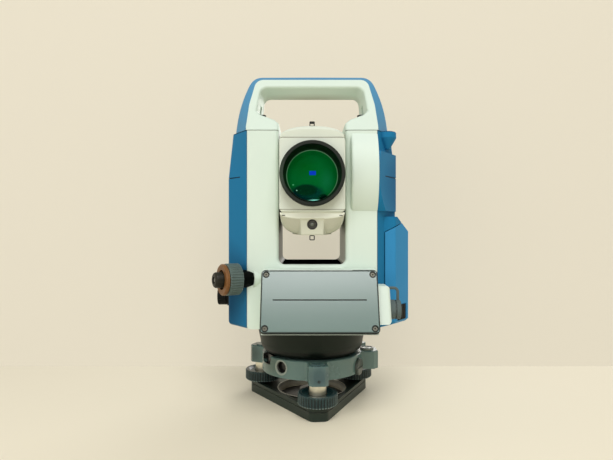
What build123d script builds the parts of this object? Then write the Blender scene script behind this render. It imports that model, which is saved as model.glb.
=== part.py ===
"""Total station on its tribrach, as separate pieces. All sizes are in millimetres.

The origin is on the vertical axis, at the underside of the base plate. X points to the right and Y
points away for someone who looks into the objective. Bearings are counted from the front round to
the right.
"""

import os
from math import cos, hypot, radians, sin

from build123d import *

os.makedirs("parts", exist_ok=True)

# Fits between neighbouring pieces
run_fit = 0.05
seat_fit = 0.02
seam = 0.2
loose_fit = 0.4

# Tribrach base plate
tribrach_bearing = 5.0
foot_bearings = [tribrach_bearing, tribrach_bearing + 120.0, tribrach_bearing + 240.0]
foot_circle = 60.0
base_reach = 71.5
base_flat = 15.5
base_height = 12.5
base_rim = 4.0
base_floor = 10.0
base_web = 3.0
base_corner_radius = 7.0
base_opening_radius = 35.6
base_collar_wall = 1.4
thread_radius = 6.75
thread_boss_radius = 13.0
rim_groove_height = 8.4
rim_groove_width = 0.9
spring_plate_thickness = 1.0

# Foot screws
foot_pad_radius = 7.0
foot_pad_bottom = 4.0
foot_spindle_radius = 5.0
foot_screw_top = 47.0
foot_knob_radius = 19.25
foot_knob_bottom = 14.0
foot_knob_top = 24.7
foot_knob_edge = 0.8
foot_knob_recess_radius = 9.5
foot_knob_recess_depth = 6.2
foot_knob_flutes = 40
foot_flute_radius = 1.0

# Tribrach head
head_bottom = 33.0
head_top = 51.5
head_radius = 52.7
head_wall = 5.2
head_plate = 8.0
head_bore_radius = 30.5
head_fillet = 5.0
lobe_reach = 72.0
lobe_width = 18.8
lobe_bevel = 3.4
lobe_cap_radius = 7.2
lobe_cap_height = 0.9
bush_radius = 8.3
bush_bottom = 22.5
level_bearing = 92.0
level_reach = 70.5
level_width = 24.0
level_bevel = 5.0
level_circle = 59.5
level_radius = 7.2
level_bottom = 45.0
level_rise = 1.4
side_hole_bearing = -36.0
side_hole_radius = 4.75
side_hole_rim = 7.4
side_hole_height = 43.2
side_slot_bearing = -63.0
side_slot_width = 18.0
side_slot_bottom = 43.0
side_slot_depth = 4.0

# Clamp of the tribrach
clamp_bearing = 65.0
clamp_height = 39.0
clamp_knob_radius = 8.6
clamp_knob_thickness = 3.0
clamp_shaft_radius = 3.0
clamp_pin_radius = 1.0
clamp_pin_offset = 2.0
clamp_ring_inner = 32.0
clamp_ring_outer = 46.0
clamp_ring_bottom = 36.0
stud_circle = 38.0
stud_radius = 4.8
stud_bottom = 37.0
stud_slot_angle = 24.0

# Lower base and vertical axis
bowl_top = 80.0
bowl_radius_top = 58.0
bowl_radius_low = 54.5
bowl_round = 12.0
bowl_wall = 3.5
bowl_floor_top = 60.0
bowl_boss_radius = 30.0
bowl_boss_bottom = 47.0
spindle_radius = 9.0
spindle_bore = 5.0
sleeve_radius = 14.0
sleeve_top = 84.0
sleeve_flange_radius = 22.0
sleeve_flange_top = 66.0
circle_radius = 38.0
circle_thickness = 2.0
spindle_flange_radius = 24.0
spindle_flange_gap = 0.1

# Alidade body
trunnion_height = 232.5
body_bottom = 82.0
seam_height = 278.0
body_half_width = 86.0
body_taper = 5.0
body_top_half_width = body_half_width - body_taper
side_flat_half_depth = 22.0
corner_bevel_width = 21.7
front_half_width = body_half_width - corner_bevel_width
body_half_depth = 46.6
wall = 2.5
gap_half_width = 33.0
saddle_height = 145.6
gap_corner_radius = 6.0
gap_edge_radius = 4.0
body_edge_radius = 6.0
body_bottom_radius = 4.0
body_bore_radius = 27.0
trunnion_hole_radius = 14.0
saddle_plate_thickness = 2.0
saddle_plate_half_width = 30.0
saddle_plate_half_depth = 40.0
mark_height = 0.8
mark_depth = 0.7
mark_inset = 10.5
mark_half_width = body_half_width - mark_inset

# Drum of the vertical circle and the antenna bulge above it
drum_radius = 60.2
drum_rise = 4.0
drum_left = 38.0
drum_step = 0.3
drum_right = body_half_width + drum_step
drum_above = 42.0
drum_below = 34.2
drum_side_above = 23.5
drum_bevel_depth = 24.0
drum_edge_radius = 2.5
antenna_inset = 10.5
antenna_x = body_half_width - antenna_inset
antenna_y = -33.0
antenna_top_radius = 9.5
antenna_tip_radius = 3.5
antenna_height = 17.5

# Sloped panels, front and rear
panel_offset = 6.7
panel_margin = 2.85
panel_width = 2 * (front_half_width - panel_offset - panel_margin)
panel_length = 60.0
panel_thickness = 4.0
panel_corner = 4.0
panel_top_depth = 66.5
panel_bottom_depth = 88.0
panel_top = 142.0
panel_bottom = 86.0
panel_overhang = 1.0
housing_bottom = 84.0
panel_screw_inset = 4.6
panel_screw_radius = 2.0
panel_screw_recess = 2.8
panel_screw_recess_depth = 2.0
panel_groove_inset = 11.25
panel_groove_length = panel_width - 2 * panel_groove_inset
panel_groove_width = 0.9
panel_groove_depth = 0.6
panel_notch_inset = 6.0
panel_notch_end = 23.5
panel_notch_length = panel_width - panel_notch_inset - panel_notch_end
panel_notch_depth = 1.0

# Connector block at the right of the front panel
connector_y = -62.0
connector_height = 104.0
connector_radius = 7.0
connector_length = 10.0
connector_rise = 2.0
cap_radius = 9.2
cap_length = 10.2
cap_groove_depth = 1.2
cap_groove_width = 1.4
tether_radius = 1.35
tether_rise = 11.3
tether_top = connector_height + cap_radius + tether_rise
tether_bend = 4.0
block_reach = 9.0
block_right = front_half_width + block_reach
block_below = 11.2
block_bottom = connector_height - block_below
block_above = 2.3
block_top = tether_top + block_above
block_back = 48.2
block_corner = 4.0

# Keyboard on the operator's side
display_margin = 7.75
key_column_width = 35.75
display_width = panel_width - display_margin - key_column_width
display_height = 34.0
display_depth = 1.2
display_x = display_margin + (display_width - panel_width) / 2
display_y = 8.0
key_bottom = 1.2
key_rise = 1.5
key_corner = 1.5
soft_key_pitch = display_width / 4
soft_key_gap = 4.5
soft_key_width = soft_key_pitch - soft_key_gap
soft_key_height = 6.5
soft_key_y = -19.0
key_column_inset = 16.75
key_column_x = panel_width / 2 - key_column_inset
power_key_radius = 4.5
power_key_y = 20.0
cursor_radius = 9.0
cursor_y = 2.5
enter_width = 16.0
enter_height = 8.0
enter_y = -17.5

# Battery door and compartment
bulge_root_inset = 14.0
bulge_root_x = body_half_width - bulge_root_inset
bulge_root_depth = 38.0
bulge_shoulder_inset = 2.0
bulge_shoulder_x = body_half_width - bulge_shoulder_inset
bulge_shoulder_depth = 36.0
bulge_reach = 15.0
bulge_side_x = body_half_width + bulge_reach
bulge_side_depth = 14.0
bulge_bottom = 85.0
bulge_top = 193.0
bulge_bevel = 15.0
bulge_edge_radius = 2.5
bulge_bottom_bevel = 2.5
door_line_drop = 15.4
door_line_height = bulge_top - door_line_drop
door_line_slope = 0.49
hinge_inset = 9.6
hinge_x = body_half_width - hinge_inset
hinge_rise = 2.4
hinge_y = bulge_shoulder_depth + hinge_rise
hinge_clearance = 0.9
knuckle_radius = 2.5
knuckle_bottom = 100.0
knuckle_drop = 11.6
knuckle_top = door_line_height - knuckle_drop
pintle_radius = 1.2
pintle_length = 4.0
ear_height = 4.0
tray_inset = 17.5
tray_left = body_half_width - tray_inset
tray_wall = 2.0
battery_thickness = 20.5
battery_width = 39.5
battery_height = 70.5
battery_bottom = 92.0
battery_y = 2.0
latch_width = 15.0
latch_height = 15.0
latch_bottom = 88.5
latch_rise = 1.4
latch_travel = 4.0
latch_thickness = 2.2
latch_rib_width = 1.2

# Carrying handle
handle_bottom_half = 77.5
handle_knee_half = 75.9
handle_knee_height = 306.0
handle_knee_radius = 30.0
handle_top_half = 64.0
handle_top = 338.0
handle_corner = 10.0
grip_bottom_half = 65.5
grip_knee_half = 63.2
grip_top_half = 57.0
grip_top = 334.6
grip_corner = 9.0
opening_half = 52.3
opening_low_half = 55.5
opening_top = 325.0
opening_corner = 8.0
shoulder_outer_x = 52.0
shoulder_outer_height = 295.0
shoulder_inner_x = 37.5
shoulder_inner_height = 289.0
handle_top_half_depth = 19.0
handle_edge_radius = 2.5
handle_screw_x = 53.5
handle_screw_radius = 4.6
handle_screw_head = 9.0
handle_screw_seat = 293.5
handle_screw_shank = 2.5
handle_screw_bottom = 255.0
handle_pocket_radius = 6.0
handle_pocket_top = 312.0

# Yoke frame and horizontal axis
yoke_bottom = 90.0
yoke_base_top = 128.0
yoke_base_half_width = 58.0
yoke_base_half_depth = 28.0
upright_inner = 37.0
upright_outer = 57.0
upright_half_depth = 24.0
upright_top = 272.0
yoke_foot_x = 50.0
yoke_foot_y = 33.0
yoke_foot_size = 12.0
axle_radius = 11.0
axle_inner = 27.5
axle_outer = 62.0
bearing_radius = 17.0
bearing_inner = 40.0
bearing_outer = 54.0
vertical_circle_x = 58.5
vertical_circle_radius = 36.0
vertical_circle_thickness = 2.0

# Telescope
scope_half_width = 31.5
scope_front = 64.0
scope_rear = 40.0
scope_half_height = 35.8
scope_edge_radius = 4.0
scope_bore = 26.0
top_cap_side = 40.0
top_cap_crown = 48.0
top_cap_half_width = 28.5
top_cap_slope = 7.0
cap_front = 61.0
top_cap_rear = 34.0
bottom_cap_step = 42.0
bottom_cap_side = 50.5
bottom_cap_side_half = 30.0
bottom_cap_low = 55.0
bottom_cap_low_half = 19.0
nose_half_width = 12.0
nose_low_half_width = 9.0
nose_bottom = 57.8
nose_front = 60.0
nose_rear = 20.0
window_height = -47.6
window_radius = 5.0
window_depth = 5.0
wing_slot_length = 3.0
wing_slot_height = 0.9
wing_slot_z = -40.0
ring_radius = 30.7
ring_front = 76.0
ring_inner = 27.4
ring_barrel = 27.0
ring_barrel_rear = 48.0
ring_throat = 25.0
lens_radius = 25.6
lens_front = 58.0
lens_edge = 4.0
lens_bulge = 2.2
sight_width = 5.2
sight_height = 5.0
sight_front = 50.0
sight_length = 9.0
sight_bore = 3.4
barrel_radius = 12.0
barrel_bore = 7.5
barrel_end = 62.0
barrel_tip_radius = 9.5
barrel_tip_end = 76.0
focus_ring_radius = 24.0
focus_ring_front = 42.6
focus_ring_length = 16.0
focus_flutes = 36
focus_flute_radius = 1.1
eyepiece_radius = 13.5
eyepiece_end = 82.5
eyepiece_flutes = 24
eyepiece_flute_radius = 0.9
eyepiece_cup = 10.0

# Clamp and fine-motion knobs
motion_shaft_radius = 4.0
motion_sleeve_radius = 6.0
clamp_disc_radius = 11.0
clamp_disc_length = 6.0
clamp_disc_gap = 0.6
clamp_tab_reach = 16.0
clamp_tab_width = 6.0
tangent_knob_radius = 10.0
tangent_knob_length = 10.0
tangent_flutes = 24
tangent_flute_radius = 0.7
vertical_motion_x = -(gap_half_width + front_half_width) / 2
vertical_motion_height = 192.0
horizontal_motion_y = 18.0
horizontal_motion_height = 107.0
motion_shaft_depth = 12.0
motion_sleeve_depth = 17.0

# Optical plummet
plummet_reach = 7.9
plummet_x = -front_half_width - plummet_reach
plummet_y = -47.4
plummet_height = 131.5
plummet_angle = 30.0
plummet_tube_radius = 8.75
plummet_tube_inside = 18.0
plummet_boss_radius = 10.6
plummet_boss_depth = 12.9
plummet_boss_length = 12.0
plummet_neck_radius = 6.0
plummet_neck_length = 15.0
plummet_tip_radius = 4.5
plummet_tip_length = 22.0
plummet_ring_radius = 15.5
plummet_ring_length = 13.4
plummet_ring_gap = 0.3
plummet_flutes = 36
plummet_flute_radius = 0.9
trim_ring_radius = 15.2
trim_ring_length = 4.2
trim_neck_radius = 13.2
trim_neck_length = 1.2
trim_ring_hole = 9.6
plummet_eyepiece_radius = 8.2
plummet_eyepiece_tip = 7.4
plummet_eyepiece_end = 25.5
plummet_eyepiece_round = 2.5
plummet_glass_radius = 3.4
plummet_glass_depth = 1.6


def on_circle(radius, bearing):
    """Point in plan at a radius and bearing, counted from the front round to the right."""
    return radius * sin(radians(bearing)), -radius * cos(radians(bearing))


def along(bearing, reach, across):
    """Point in plan at a reach along a bearing and a distance across it."""
    x, y = on_circle(reach, bearing)
    return x + across * cos(radians(bearing)), y + across * sin(radians(bearing))


def corner_points():
    """Outline of the base plate: a triangle with its corners cut off."""
    points = []
    for bearing in foot_bearings:
        points.append(along(bearing, base_reach, -base_flat / 2))
        points.append(along(bearing, base_reach, base_flat / 2))
    return points


def arm_points(bearing, reach, width, bevel):
    """Outline of an arm of the head, from inside the ring out to its bevelled end."""
    half = width / 2
    return [
        along(bearing, head_bore_radius, -half),
        along(bearing, reach - bevel, -half),
        along(bearing, reach, bevel - half),
        along(bearing, reach, half - bevel),
        along(bearing, reach - bevel, half),
        along(bearing, head_bore_radius, half),
    ]


# Base plate of the tribrach with its rim, round opening, tripod thread and foot sockets
with BuildPart() as tribrach_base_plate:
    with BuildSketch(Plane.XY) as base_outline:
        Polygon(*corner_points())
        fillet(base_outline.vertices(), base_corner_radius)
    extrude(amount=base_height)
    with BuildSketch(Plane.XY.offset(base_floor)) as base_recess:
        Polygon(*corner_points())
        offset(amount=-base_rim, kind=Kind.INTERSECTION)
        fillet(base_recess.vertices(), base_corner_radius / 2)
        Circle(base_opening_radius + base_collar_wall, mode=Mode.SUBTRACT)
    extrude(amount=base_height, mode=Mode.SUBTRACT)
    with BuildSketch(Plane.XY.offset(base_height - 1)):
        Circle(base_opening_radius + base_collar_wall + 0.01)
    extrude(amount=base_height, mode=Mode.SUBTRACT)
    with BuildSketch(Plane.XY.offset(base_web)):
        Circle(base_opening_radius)
        Circle(thread_boss_radius, mode=Mode.SUBTRACT)
    extrude(amount=base_height, mode=Mode.SUBTRACT)
    with BuildSketch(Plane.XY.offset(base_floor)):
        Circle(thread_boss_radius + 1)
    extrude(amount=base_height, mode=Mode.SUBTRACT)
    with BuildSketch(Plane.XY):
        Circle(thread_radius)
    extrude(amount=base_height, mode=Mode.SUBTRACT)
    with BuildSketch(Plane.XY.offset(foot_pad_bottom)):
        with Locations(*[on_circle(foot_circle, bearing) for bearing in foot_bearings]):
            Circle(foot_pad_radius + loose_fit)
    extrude(amount=base_height, mode=Mode.SUBTRACT)
    with BuildSketch(Plane.XY.offset(rim_groove_height)):
        Polygon(*corner_points())
        offset(amount=1, kind=Kind.INTERSECTION)
        with BuildSketch(Plane.XY, mode=Mode.SUBTRACT) as groove_core:
            Polygon(*corner_points())
            offset(amount=-0.7, kind=Kind.INTERSECTION)
            fillet(groove_core.vertices(), base_corner_radius)
    extrude(amount=rim_groove_width, mode=Mode.SUBTRACT)

# Spring plate that holds the foot screws down in their sockets
with BuildPart() as base_spring_plate:
    with BuildSketch(Plane.XY.offset(base_floor)) as spring_outline:
        Polygon(*corner_points())
        offset(amount=-base_rim - loose_fit, kind=Kind.INTERSECTION)
        fillet(spring_outline.vertices(), base_corner_radius / 2)
        Circle(base_opening_radius + base_collar_wall + loose_fit / 2, mode=Mode.SUBTRACT)
        with Locations(*[on_circle(foot_circle, bearing) for bearing in foot_bearings]):
            Circle(foot_spindle_radius + loose_fit, mode=Mode.SUBTRACT)
    extrude(amount=spring_plate_thickness)

# Foot screw at the front: pad, spindle and fluted knob in one piece
front_foot = on_circle(foot_circle, tribrach_bearing)
front_foot_plane = Plane(origin=(*front_foot, 0), x_dir=(1, 0, 0), z_dir=(0, -1, 0))
with BuildPart() as foot_screw_front:
    with BuildSketch(front_foot_plane):
        with BuildLine():
            Polyline(
                (0, foot_pad_bottom),
                (foot_pad_radius, foot_pad_bottom),
                (foot_pad_radius, base_floor - seam),
                (foot_spindle_radius, base_floor - seam),
                (foot_spindle_radius, foot_knob_bottom - 1),
                (foot_knob_radius * 0.6, foot_knob_bottom - 1),
                (foot_knob_radius * 0.7, foot_knob_bottom),
                (foot_knob_radius - foot_knob_edge, foot_knob_bottom),
                (foot_knob_radius, foot_knob_bottom + foot_knob_edge),
                (foot_knob_radius, foot_knob_top - foot_knob_edge),
                (foot_knob_radius - foot_knob_edge, foot_knob_top),
                (foot_knob_radius * 0.82, foot_knob_top),
                (foot_knob_radius * 0.68, foot_knob_top - 1.8),
                (foot_knob_recess_radius, foot_knob_top - 1.8),
                (foot_knob_recess_radius, foot_knob_top - foot_knob_recess_depth),
                (foot_spindle_radius, foot_knob_top - foot_knob_recess_depth),
                (foot_spindle_radius, foot_screw_top),
                (0, foot_screw_top),
                close=True,
            )
        make_face()
    revolve(axis=Axis((*front_foot, 0), (0, 0, 1)))
    with BuildSketch(Plane.XY.offset(foot_knob_bottom - 1)):
        with Locations(front_foot):
            with PolarLocations(foot_knob_radius + foot_flute_radius / 3, foot_knob_flutes):
                Circle(foot_flute_radius)
    extrude(amount=foot_knob_top - foot_knob_bottom + 2, mode=Mode.SUBTRACT)

# The other two foot screws are the same piece
with BuildPart() as foot_screw_right:
    add(foot_screw_front.part, rotation=(0, 0, 120))
with BuildPart() as foot_screw_left:
    add(foot_screw_front.part, rotation=(0, 0, 240))

# Head of the tribrach: ring, three lobes and the block for the circular level
clamp_plane = Plane(
    origin=(*on_circle(head_radius, clamp_bearing), clamp_height),
    x_dir=(cos(radians(clamp_bearing)), sin(radians(clamp_bearing)), 0),
    z_dir=(*on_circle(1, clamp_bearing), 0),
)
side_hole_plane = Plane(
    origin=(*on_circle(head_radius, side_hole_bearing), side_hole_height),
    x_dir=(cos(radians(side_hole_bearing)), sin(radians(side_hole_bearing)), 0),
    z_dir=(*on_circle(1, side_hole_bearing), 0),
)
side_slot_plane = Plane(
    origin=(*on_circle(head_radius, side_slot_bearing), side_slot_bottom),
    x_dir=(cos(radians(side_slot_bearing)), sin(radians(side_slot_bearing)), 0),
    z_dir=(*on_circle(1, side_slot_bearing), 0),
)
with BuildPart() as tribrach_body:
    with BuildSketch(Plane.XY.offset(head_bottom)) as head_outline:
        Circle(head_radius)
        for bearing in foot_bearings:
            Polygon(*arm_points(bearing, lobe_reach, lobe_width, lobe_bevel))
        Polygon(*arm_points(level_bearing, level_reach, level_width, level_bevel))
        on_ring = [v for v in head_outline.vertices() if abs(hypot(v.X, v.Y) - head_radius) < 0.01]
        fillet(on_ring, head_fillet)
    extrude(amount=head_top - head_bottom)
    chamfer(tribrach_body.faces().sort_by(Axis.Z)[-1].edges(), 0.8)
    with BuildSketch(Plane.XY.offset(head_bottom)):
        Circle(head_radius - head_wall)
    extrude(amount=head_top - head_plate - head_bottom, mode=Mode.SUBTRACT)
    with BuildSketch(Plane.XY.offset(head_top)):
        with Locations(*[on_circle(foot_circle, bearing) for bearing in foot_bearings]):
            Circle(lobe_cap_radius)
    extrude(amount=lobe_cap_height)
    with BuildSketch(Plane.XY.offset(head_bottom)):
        Circle(head_bore_radius)
        with Locations(*[on_circle(stud_circle, bearing) for bearing in foot_bearings]):
            Circle(stud_radius + loose_fit)
    extrude(amount=head_top, mode=Mode.SUBTRACT)
    with BuildSketch(Plane.XY.offset(head_bottom)):
        with Locations(*[on_circle(foot_circle, bearing) for bearing in foot_bearings]):
            Circle(bush_radius + seat_fit)
    extrude(amount=head_top - head_bottom - 1, mode=Mode.SUBTRACT)
    with BuildSketch(Plane.XY.offset(level_bottom)):
        with Locations(on_circle(level_circle, level_bearing)):
            Circle(level_radius + seat_fit)
    extrude(amount=head_top, mode=Mode.SUBTRACT)
    with BuildSketch(clamp_plane):
        Circle(clamp_shaft_radius + run_fit)
    extrude(amount=head_wall * 2, both=True, mode=Mode.SUBTRACT)
    with BuildSketch(clamp_plane.offset(-0.6)):
        Circle(clamp_knob_radius + loose_fit)
    extrude(amount=20, mode=Mode.SUBTRACT)
    with BuildSketch(side_hole_plane):
        Circle(side_hole_radius)
    extrude(amount=head_wall, both=True, mode=Mode.SUBTRACT)
    with Locations(side_hole_plane.offset(-0.4)):
        Cone(side_hole_radius, side_hole_rim, 4, mode=Mode.SUBTRACT)
    with BuildSketch(side_slot_plane.offset(-side_slot_depth)):
        Rectangle(side_slot_width, head_top, align=(Align.CENTER, Align.MIN))
    extrude(amount=2 * side_slot_depth, mode=Mode.SUBTRACT)

# Bushes that the foot screws run in
with BuildPart() as foot_screw_bushes:
    with BuildSketch(Plane.XY.offset(bush_bottom)):
        with Locations(*[on_circle(foot_circle, bearing) for bearing in foot_bearings]):
            Circle(bush_radius)
            Circle(foot_spindle_radius + run_fit, mode=Mode.SUBTRACT)
    extrude(amount=head_top - 1 - seat_fit - bush_bottom)

# Circular level with its domed glass
with BuildPart() as circular_level:
    with BuildSketch(Plane.XY.offset(level_bottom)):
        with Locations(on_circle(level_circle, level_bearing)):
            Circle(level_radius)
    extrude(amount=head_top + level_rise - level_bottom)
    fillet(circular_level.faces().sort_by(Axis.Z)[-1].edges(), 0.8)

# Clamp knob on the wall of the head, with the pin that turns the clamp ring
with BuildPart() as clamp_knob:
    with BuildSketch(clamp_plane.offset(-0.4)):
        Circle(clamp_knob_radius)
    extrude(amount=clamp_knob_thickness)
    chamfer(clamp_knob.faces().sort_by(Axis(clamp_plane.origin, clamp_plane.z_dir))[-1].edges(), 0.8)
    with BuildSketch(clamp_plane.offset(clamp_knob_thickness - 1.2)):
        Rectangle(clamp_knob_radius * 2.2, 1.8)
    extrude(amount=2, mode=Mode.SUBTRACT)
    with BuildSketch(clamp_plane.offset(-0.4)):
        Circle(clamp_shaft_radius)
    extrude(amount=-head_wall)
    with BuildSketch(clamp_plane.offset(-head_wall - 0.3)):
        with Locations((0, clamp_pin_offset - 1)):
            Circle(clamp_pin_radius)
    extrude(amount=-3)

# Clamp ring inside the head, with slots for the three studs
with BuildSketch(Plane.XY) as stud_sectors:
    for bearing in foot_bearings:
        Polygon(
            (0, 0),
            on_circle(head_radius, bearing - stud_slot_angle / 2),
            on_circle(head_radius, bearing + stud_slot_angle / 2),
        )
with BuildPart() as clamp_ring:
    with BuildSketch(Plane.XY.offset(clamp_ring_bottom)):
        Circle(clamp_ring_outer)
        Circle(clamp_ring_inner, mode=Mode.SUBTRACT)
    extrude(amount=head_top - head_plate - seam - clamp_ring_bottom)
    with BuildSketch(Plane.XY.offset(clamp_ring_bottom)):
        Circle(stud_circle + stud_radius + loose_fit)
        Circle(stud_circle - stud_radius - loose_fit, mode=Mode.SUBTRACT)
        add(stud_sectors.sketch, mode=Mode.INTERSECT)
    extrude(amount=head_plate, mode=Mode.SUBTRACT)
    with BuildSketch(clamp_plane.offset(clamp_ring_outer - head_radius - 3)):
        Rectangle(12, 20)
    extrude(amount=6, mode=Mode.SUBTRACT)

# Lower base: the bowl that stands on the head, with its three studs
with BuildPart() as lower_base:
    with BuildSketch(Plane.XZ):
        with BuildLine():
            bowl_centre = (bowl_radius_low - bowl_round, head_top + bowl_round)
            Polyline(
                (bowl_radius_low, head_top + bowl_round),
                (bowl_radius_top, bowl_top),
                (bowl_radius_top - bowl_wall, bowl_top),
                (bowl_radius_low - bowl_wall, bowl_floor_top + 3),
                (bowl_radius_low - bowl_wall - 3, bowl_floor_top),
                (sleeve_radius + seat_fit, bowl_floor_top),
                (sleeve_radius + seat_fit, bowl_boss_bottom),
                (bowl_boss_radius, bowl_boss_bottom),
                (bowl_boss_radius, head_top),
                (bowl_radius_low - bowl_round, head_top),
            )
            CenterArc(bowl_centre, bowl_round, -90, 90)
        make_face()
    revolve(axis=Axis.Z)
    with BuildSketch(Plane.XY.offset(stud_bottom)):
        with Locations(*[on_circle(stud_circle, bearing) for bearing in foot_bearings]):
            Circle(stud_radius)
    extrude(amount=head_top + 1 - stud_bottom)

# Sleeve of the vertical axis
with BuildPart() as axis_sleeve:
    with BuildSketch(Plane.XY.offset(bowl_boss_bottom)):
        Circle(sleeve_radius)
    extrude(amount=sleeve_top - bowl_boss_bottom)
    with BuildSketch(Plane.XY.offset(bowl_floor_top)):
        Circle(sleeve_flange_radius)
    extrude(amount=sleeve_flange_top - bowl_floor_top)
    with BuildSketch(Plane.XY.offset(bowl_boss_bottom)):
        Circle(spindle_radius + run_fit)
    extrude(amount=sleeve_top, mode=Mode.SUBTRACT)

# Graduated circle for horizontal angles
with BuildPart() as horizontal_circle:
    with BuildSketch(Plane.XY.offset(sleeve_flange_top)):
        Circle(circle_radius)
        Circle(sleeve_radius + seat_fit, mode=Mode.SUBTRACT)
    extrude(amount=circle_thickness)

# Spindle of the vertical axis, hollow for the sight line of the plummet
with BuildPart() as vertical_spindle:
    with BuildSketch(Plane.XY.offset(bowl_boss_bottom + 1)):
        Circle(spindle_radius)
    extrude(amount=sleeve_top + spindle_flange_gap - bowl_boss_bottom - 1)
    with BuildSketch(Plane.XY.offset(sleeve_top + spindle_flange_gap)):
        Circle(spindle_flange_radius)
    extrude(amount=yoke_bottom - sleeve_top - spindle_flange_gap)
    with BuildSketch(Plane.XY):
        Circle(spindle_bore)
    extrude(amount=yoke_bottom + 1, mode=Mode.SUBTRACT)


# Outer form of the alidade, which the four covers are cut from
def plan_points(half_width):
    """Outline of the alidade body in plan: flat front and rear, bevelled corners, flat sides."""
    return [
        (-front_half_width, -body_half_depth),
        (front_half_width, -body_half_depth),
        (half_width, -side_flat_half_depth),
        (half_width, side_flat_half_depth),
        (front_half_width, body_half_depth),
        (-front_half_width, body_half_depth),
        (-half_width, side_flat_half_depth),
        (-half_width, -side_flat_half_depth),
    ]


panel_slope = Vector(0, panel_top_depth - panel_bottom_depth, panel_bottom - panel_top).normalized()
panel_normal = Vector(0, panel_slope.Z, -panel_slope.Y)
panel_mid_depth = (panel_top_depth + panel_bottom_depth) / 2
panel_mid_height = (panel_top + panel_bottom) / 2
front_panel_plane = Plane(
    origin=Vector(panel_offset, -panel_mid_depth, panel_mid_height) - panel_normal * panel_thickness,
    x_dir=(1, 0, 0),
    z_dir=panel_normal,
)
rear_panel_plane = Plane(
    origin=(-panel_offset, -front_panel_plane.origin.Y, front_panel_plane.origin.Z),
    x_dir=(-1, 0, 0),
    z_dir=(0, -panel_normal.Y, panel_normal.Z),
)


def slope_depth(height):
    """Distance of the sloped housing face from the vertical axis at a height."""
    run = (panel_bottom_depth - panel_top_depth) / (panel_top - panel_bottom)
    return -front_panel_plane.origin.Y + (front_panel_plane.origin.Z - height) * run


def housing_solid(inset):
    """Sloped housing of the front panel, moved inward by an inset."""
    with BuildPart() as housing:
        with BuildSketch(Plane.YZ.offset(panel_offset - panel_width / 2 + panel_overhang + inset)):
            Polygon(
                (-body_half_depth + 8, panel_top),
                (-slope_depth(panel_top), panel_top),
                (-slope_depth(housing_bottom), housing_bottom),
                (-body_half_depth + 8, housing_bottom),
            )
            if inset:
                offset(amount=-inset, kind=Kind.INTERSECTION)
        extrude(amount=panel_width - 2 * panel_overhang - 2 * inset)
    return housing.part


def drum_solid(inset):
    """Drum of the vertical circle on the right standard, moved inward by an inset."""
    with BuildPart() as drum:
        with BuildSketch(Plane.YZ.offset(drum_left + inset)):
            with Locations((0, trunnion_height + drum_rise)):
                Circle(drum_radius - inset)
        extrude(amount=drum_right - drum_left - 2 * inset)
        if not inset:
            fillet(drum.edges().group_by(Axis.X)[0], drum_edge_radius)
        with BuildSketch(Plane.XY.offset(trunnion_height - drum_below + inset)):
            Polygon(
                (drum_left, -drum_radius),
                (front_half_width, -drum_radius),
                (drum_right, -drum_bevel_depth),
                (drum_right, drum_bevel_depth),
                (front_half_width, drum_radius),
                (drum_left, drum_radius),
            )
            if inset:
                offset(amount=-inset, kind=Kind.INTERSECTION)
        extrude(amount=drum_above + drum_below - 2 * inset, mode=Mode.INTERSECT)
        with Locations((front_half_width - inset, 0, trunnion_height + drum_side_above - inset)):
            Box(
                body_half_width,
                4 * drum_radius,
                drum_radius,
                align=(Align.MIN, Align.CENTER, Align.MIN),
                mode=Mode.SUBTRACT,
            )
    return drum.part


def body_section(half_width, inset):
    """Plan outline of the body with rounded side corners, moved inward by an inset."""
    with BuildSketch(Plane.XY) as section:
        Polygon(*plan_points(half_width))
        fillet([v for v in section.vertices() if abs(v.X) > front_half_width + 1], body_edge_radius)
        if inset:
            offset(amount=-inset, kind=Kind.INTERSECTION)
    return section.sketch


def body_solid(inset):
    """Body of the alidade without its drum, moved inward by an inset."""
    with BuildPart() as body:
        with BuildSketch(Plane.XY.offset(body_bottom + inset)):
            add(body_section(body_half_width, inset))
        extrude(amount=trunnion_height - body_bottom - inset)
        if not inset:
            low = [
                e
                for e in body.edges()
                if abs(e.center().Z - body_bottom) < 0.01 and abs(e.center().X) > front_half_width
            ]
            fillet(low, body_bottom_radius)
        with BuildSketch(Plane.XY.offset(trunnion_height)):
            add(body_section(body_half_width, inset))
        with BuildSketch(Plane.XY.offset(seam_height - inset)):
            add(body_section(body_top_half_width, inset))
        loft(ruled=True)
    return body.part


def envelope_solid(inset):
    """Whole outer form of the alidade, moved inward by an inset."""
    with BuildPart() as envelope:
        add(body_solid(inset))
        add(drum_solid(inset))
        add(housing_solid(inset))
        add(housing_solid(inset), rotation=(0, 0, 180))
        with BuildSketch(Plane.XZ):
            with Locations((0, (saddle_height - inset + 2 * seam_height) / 2)):
                RectangleRounded(
                    2 * gap_half_width + 2 * inset,
                    2 * seam_height - saddle_height + inset,
                    gap_corner_radius + inset,
                )
        extrude(amount=2 * body_half_depth, both=True, mode=Mode.SUBTRACT)
        if not inset:
            rim = [
                e
                for e in envelope.edges()
                if abs(abs(e.center().Y) - body_half_depth) < 0.01
                and abs(e.center().X) < gap_half_width + 0.1
                and e.center().Z > saddle_height - 0.1
            ]
            fillet(rim, gap_edge_radius)
    return envelope.part


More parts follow.
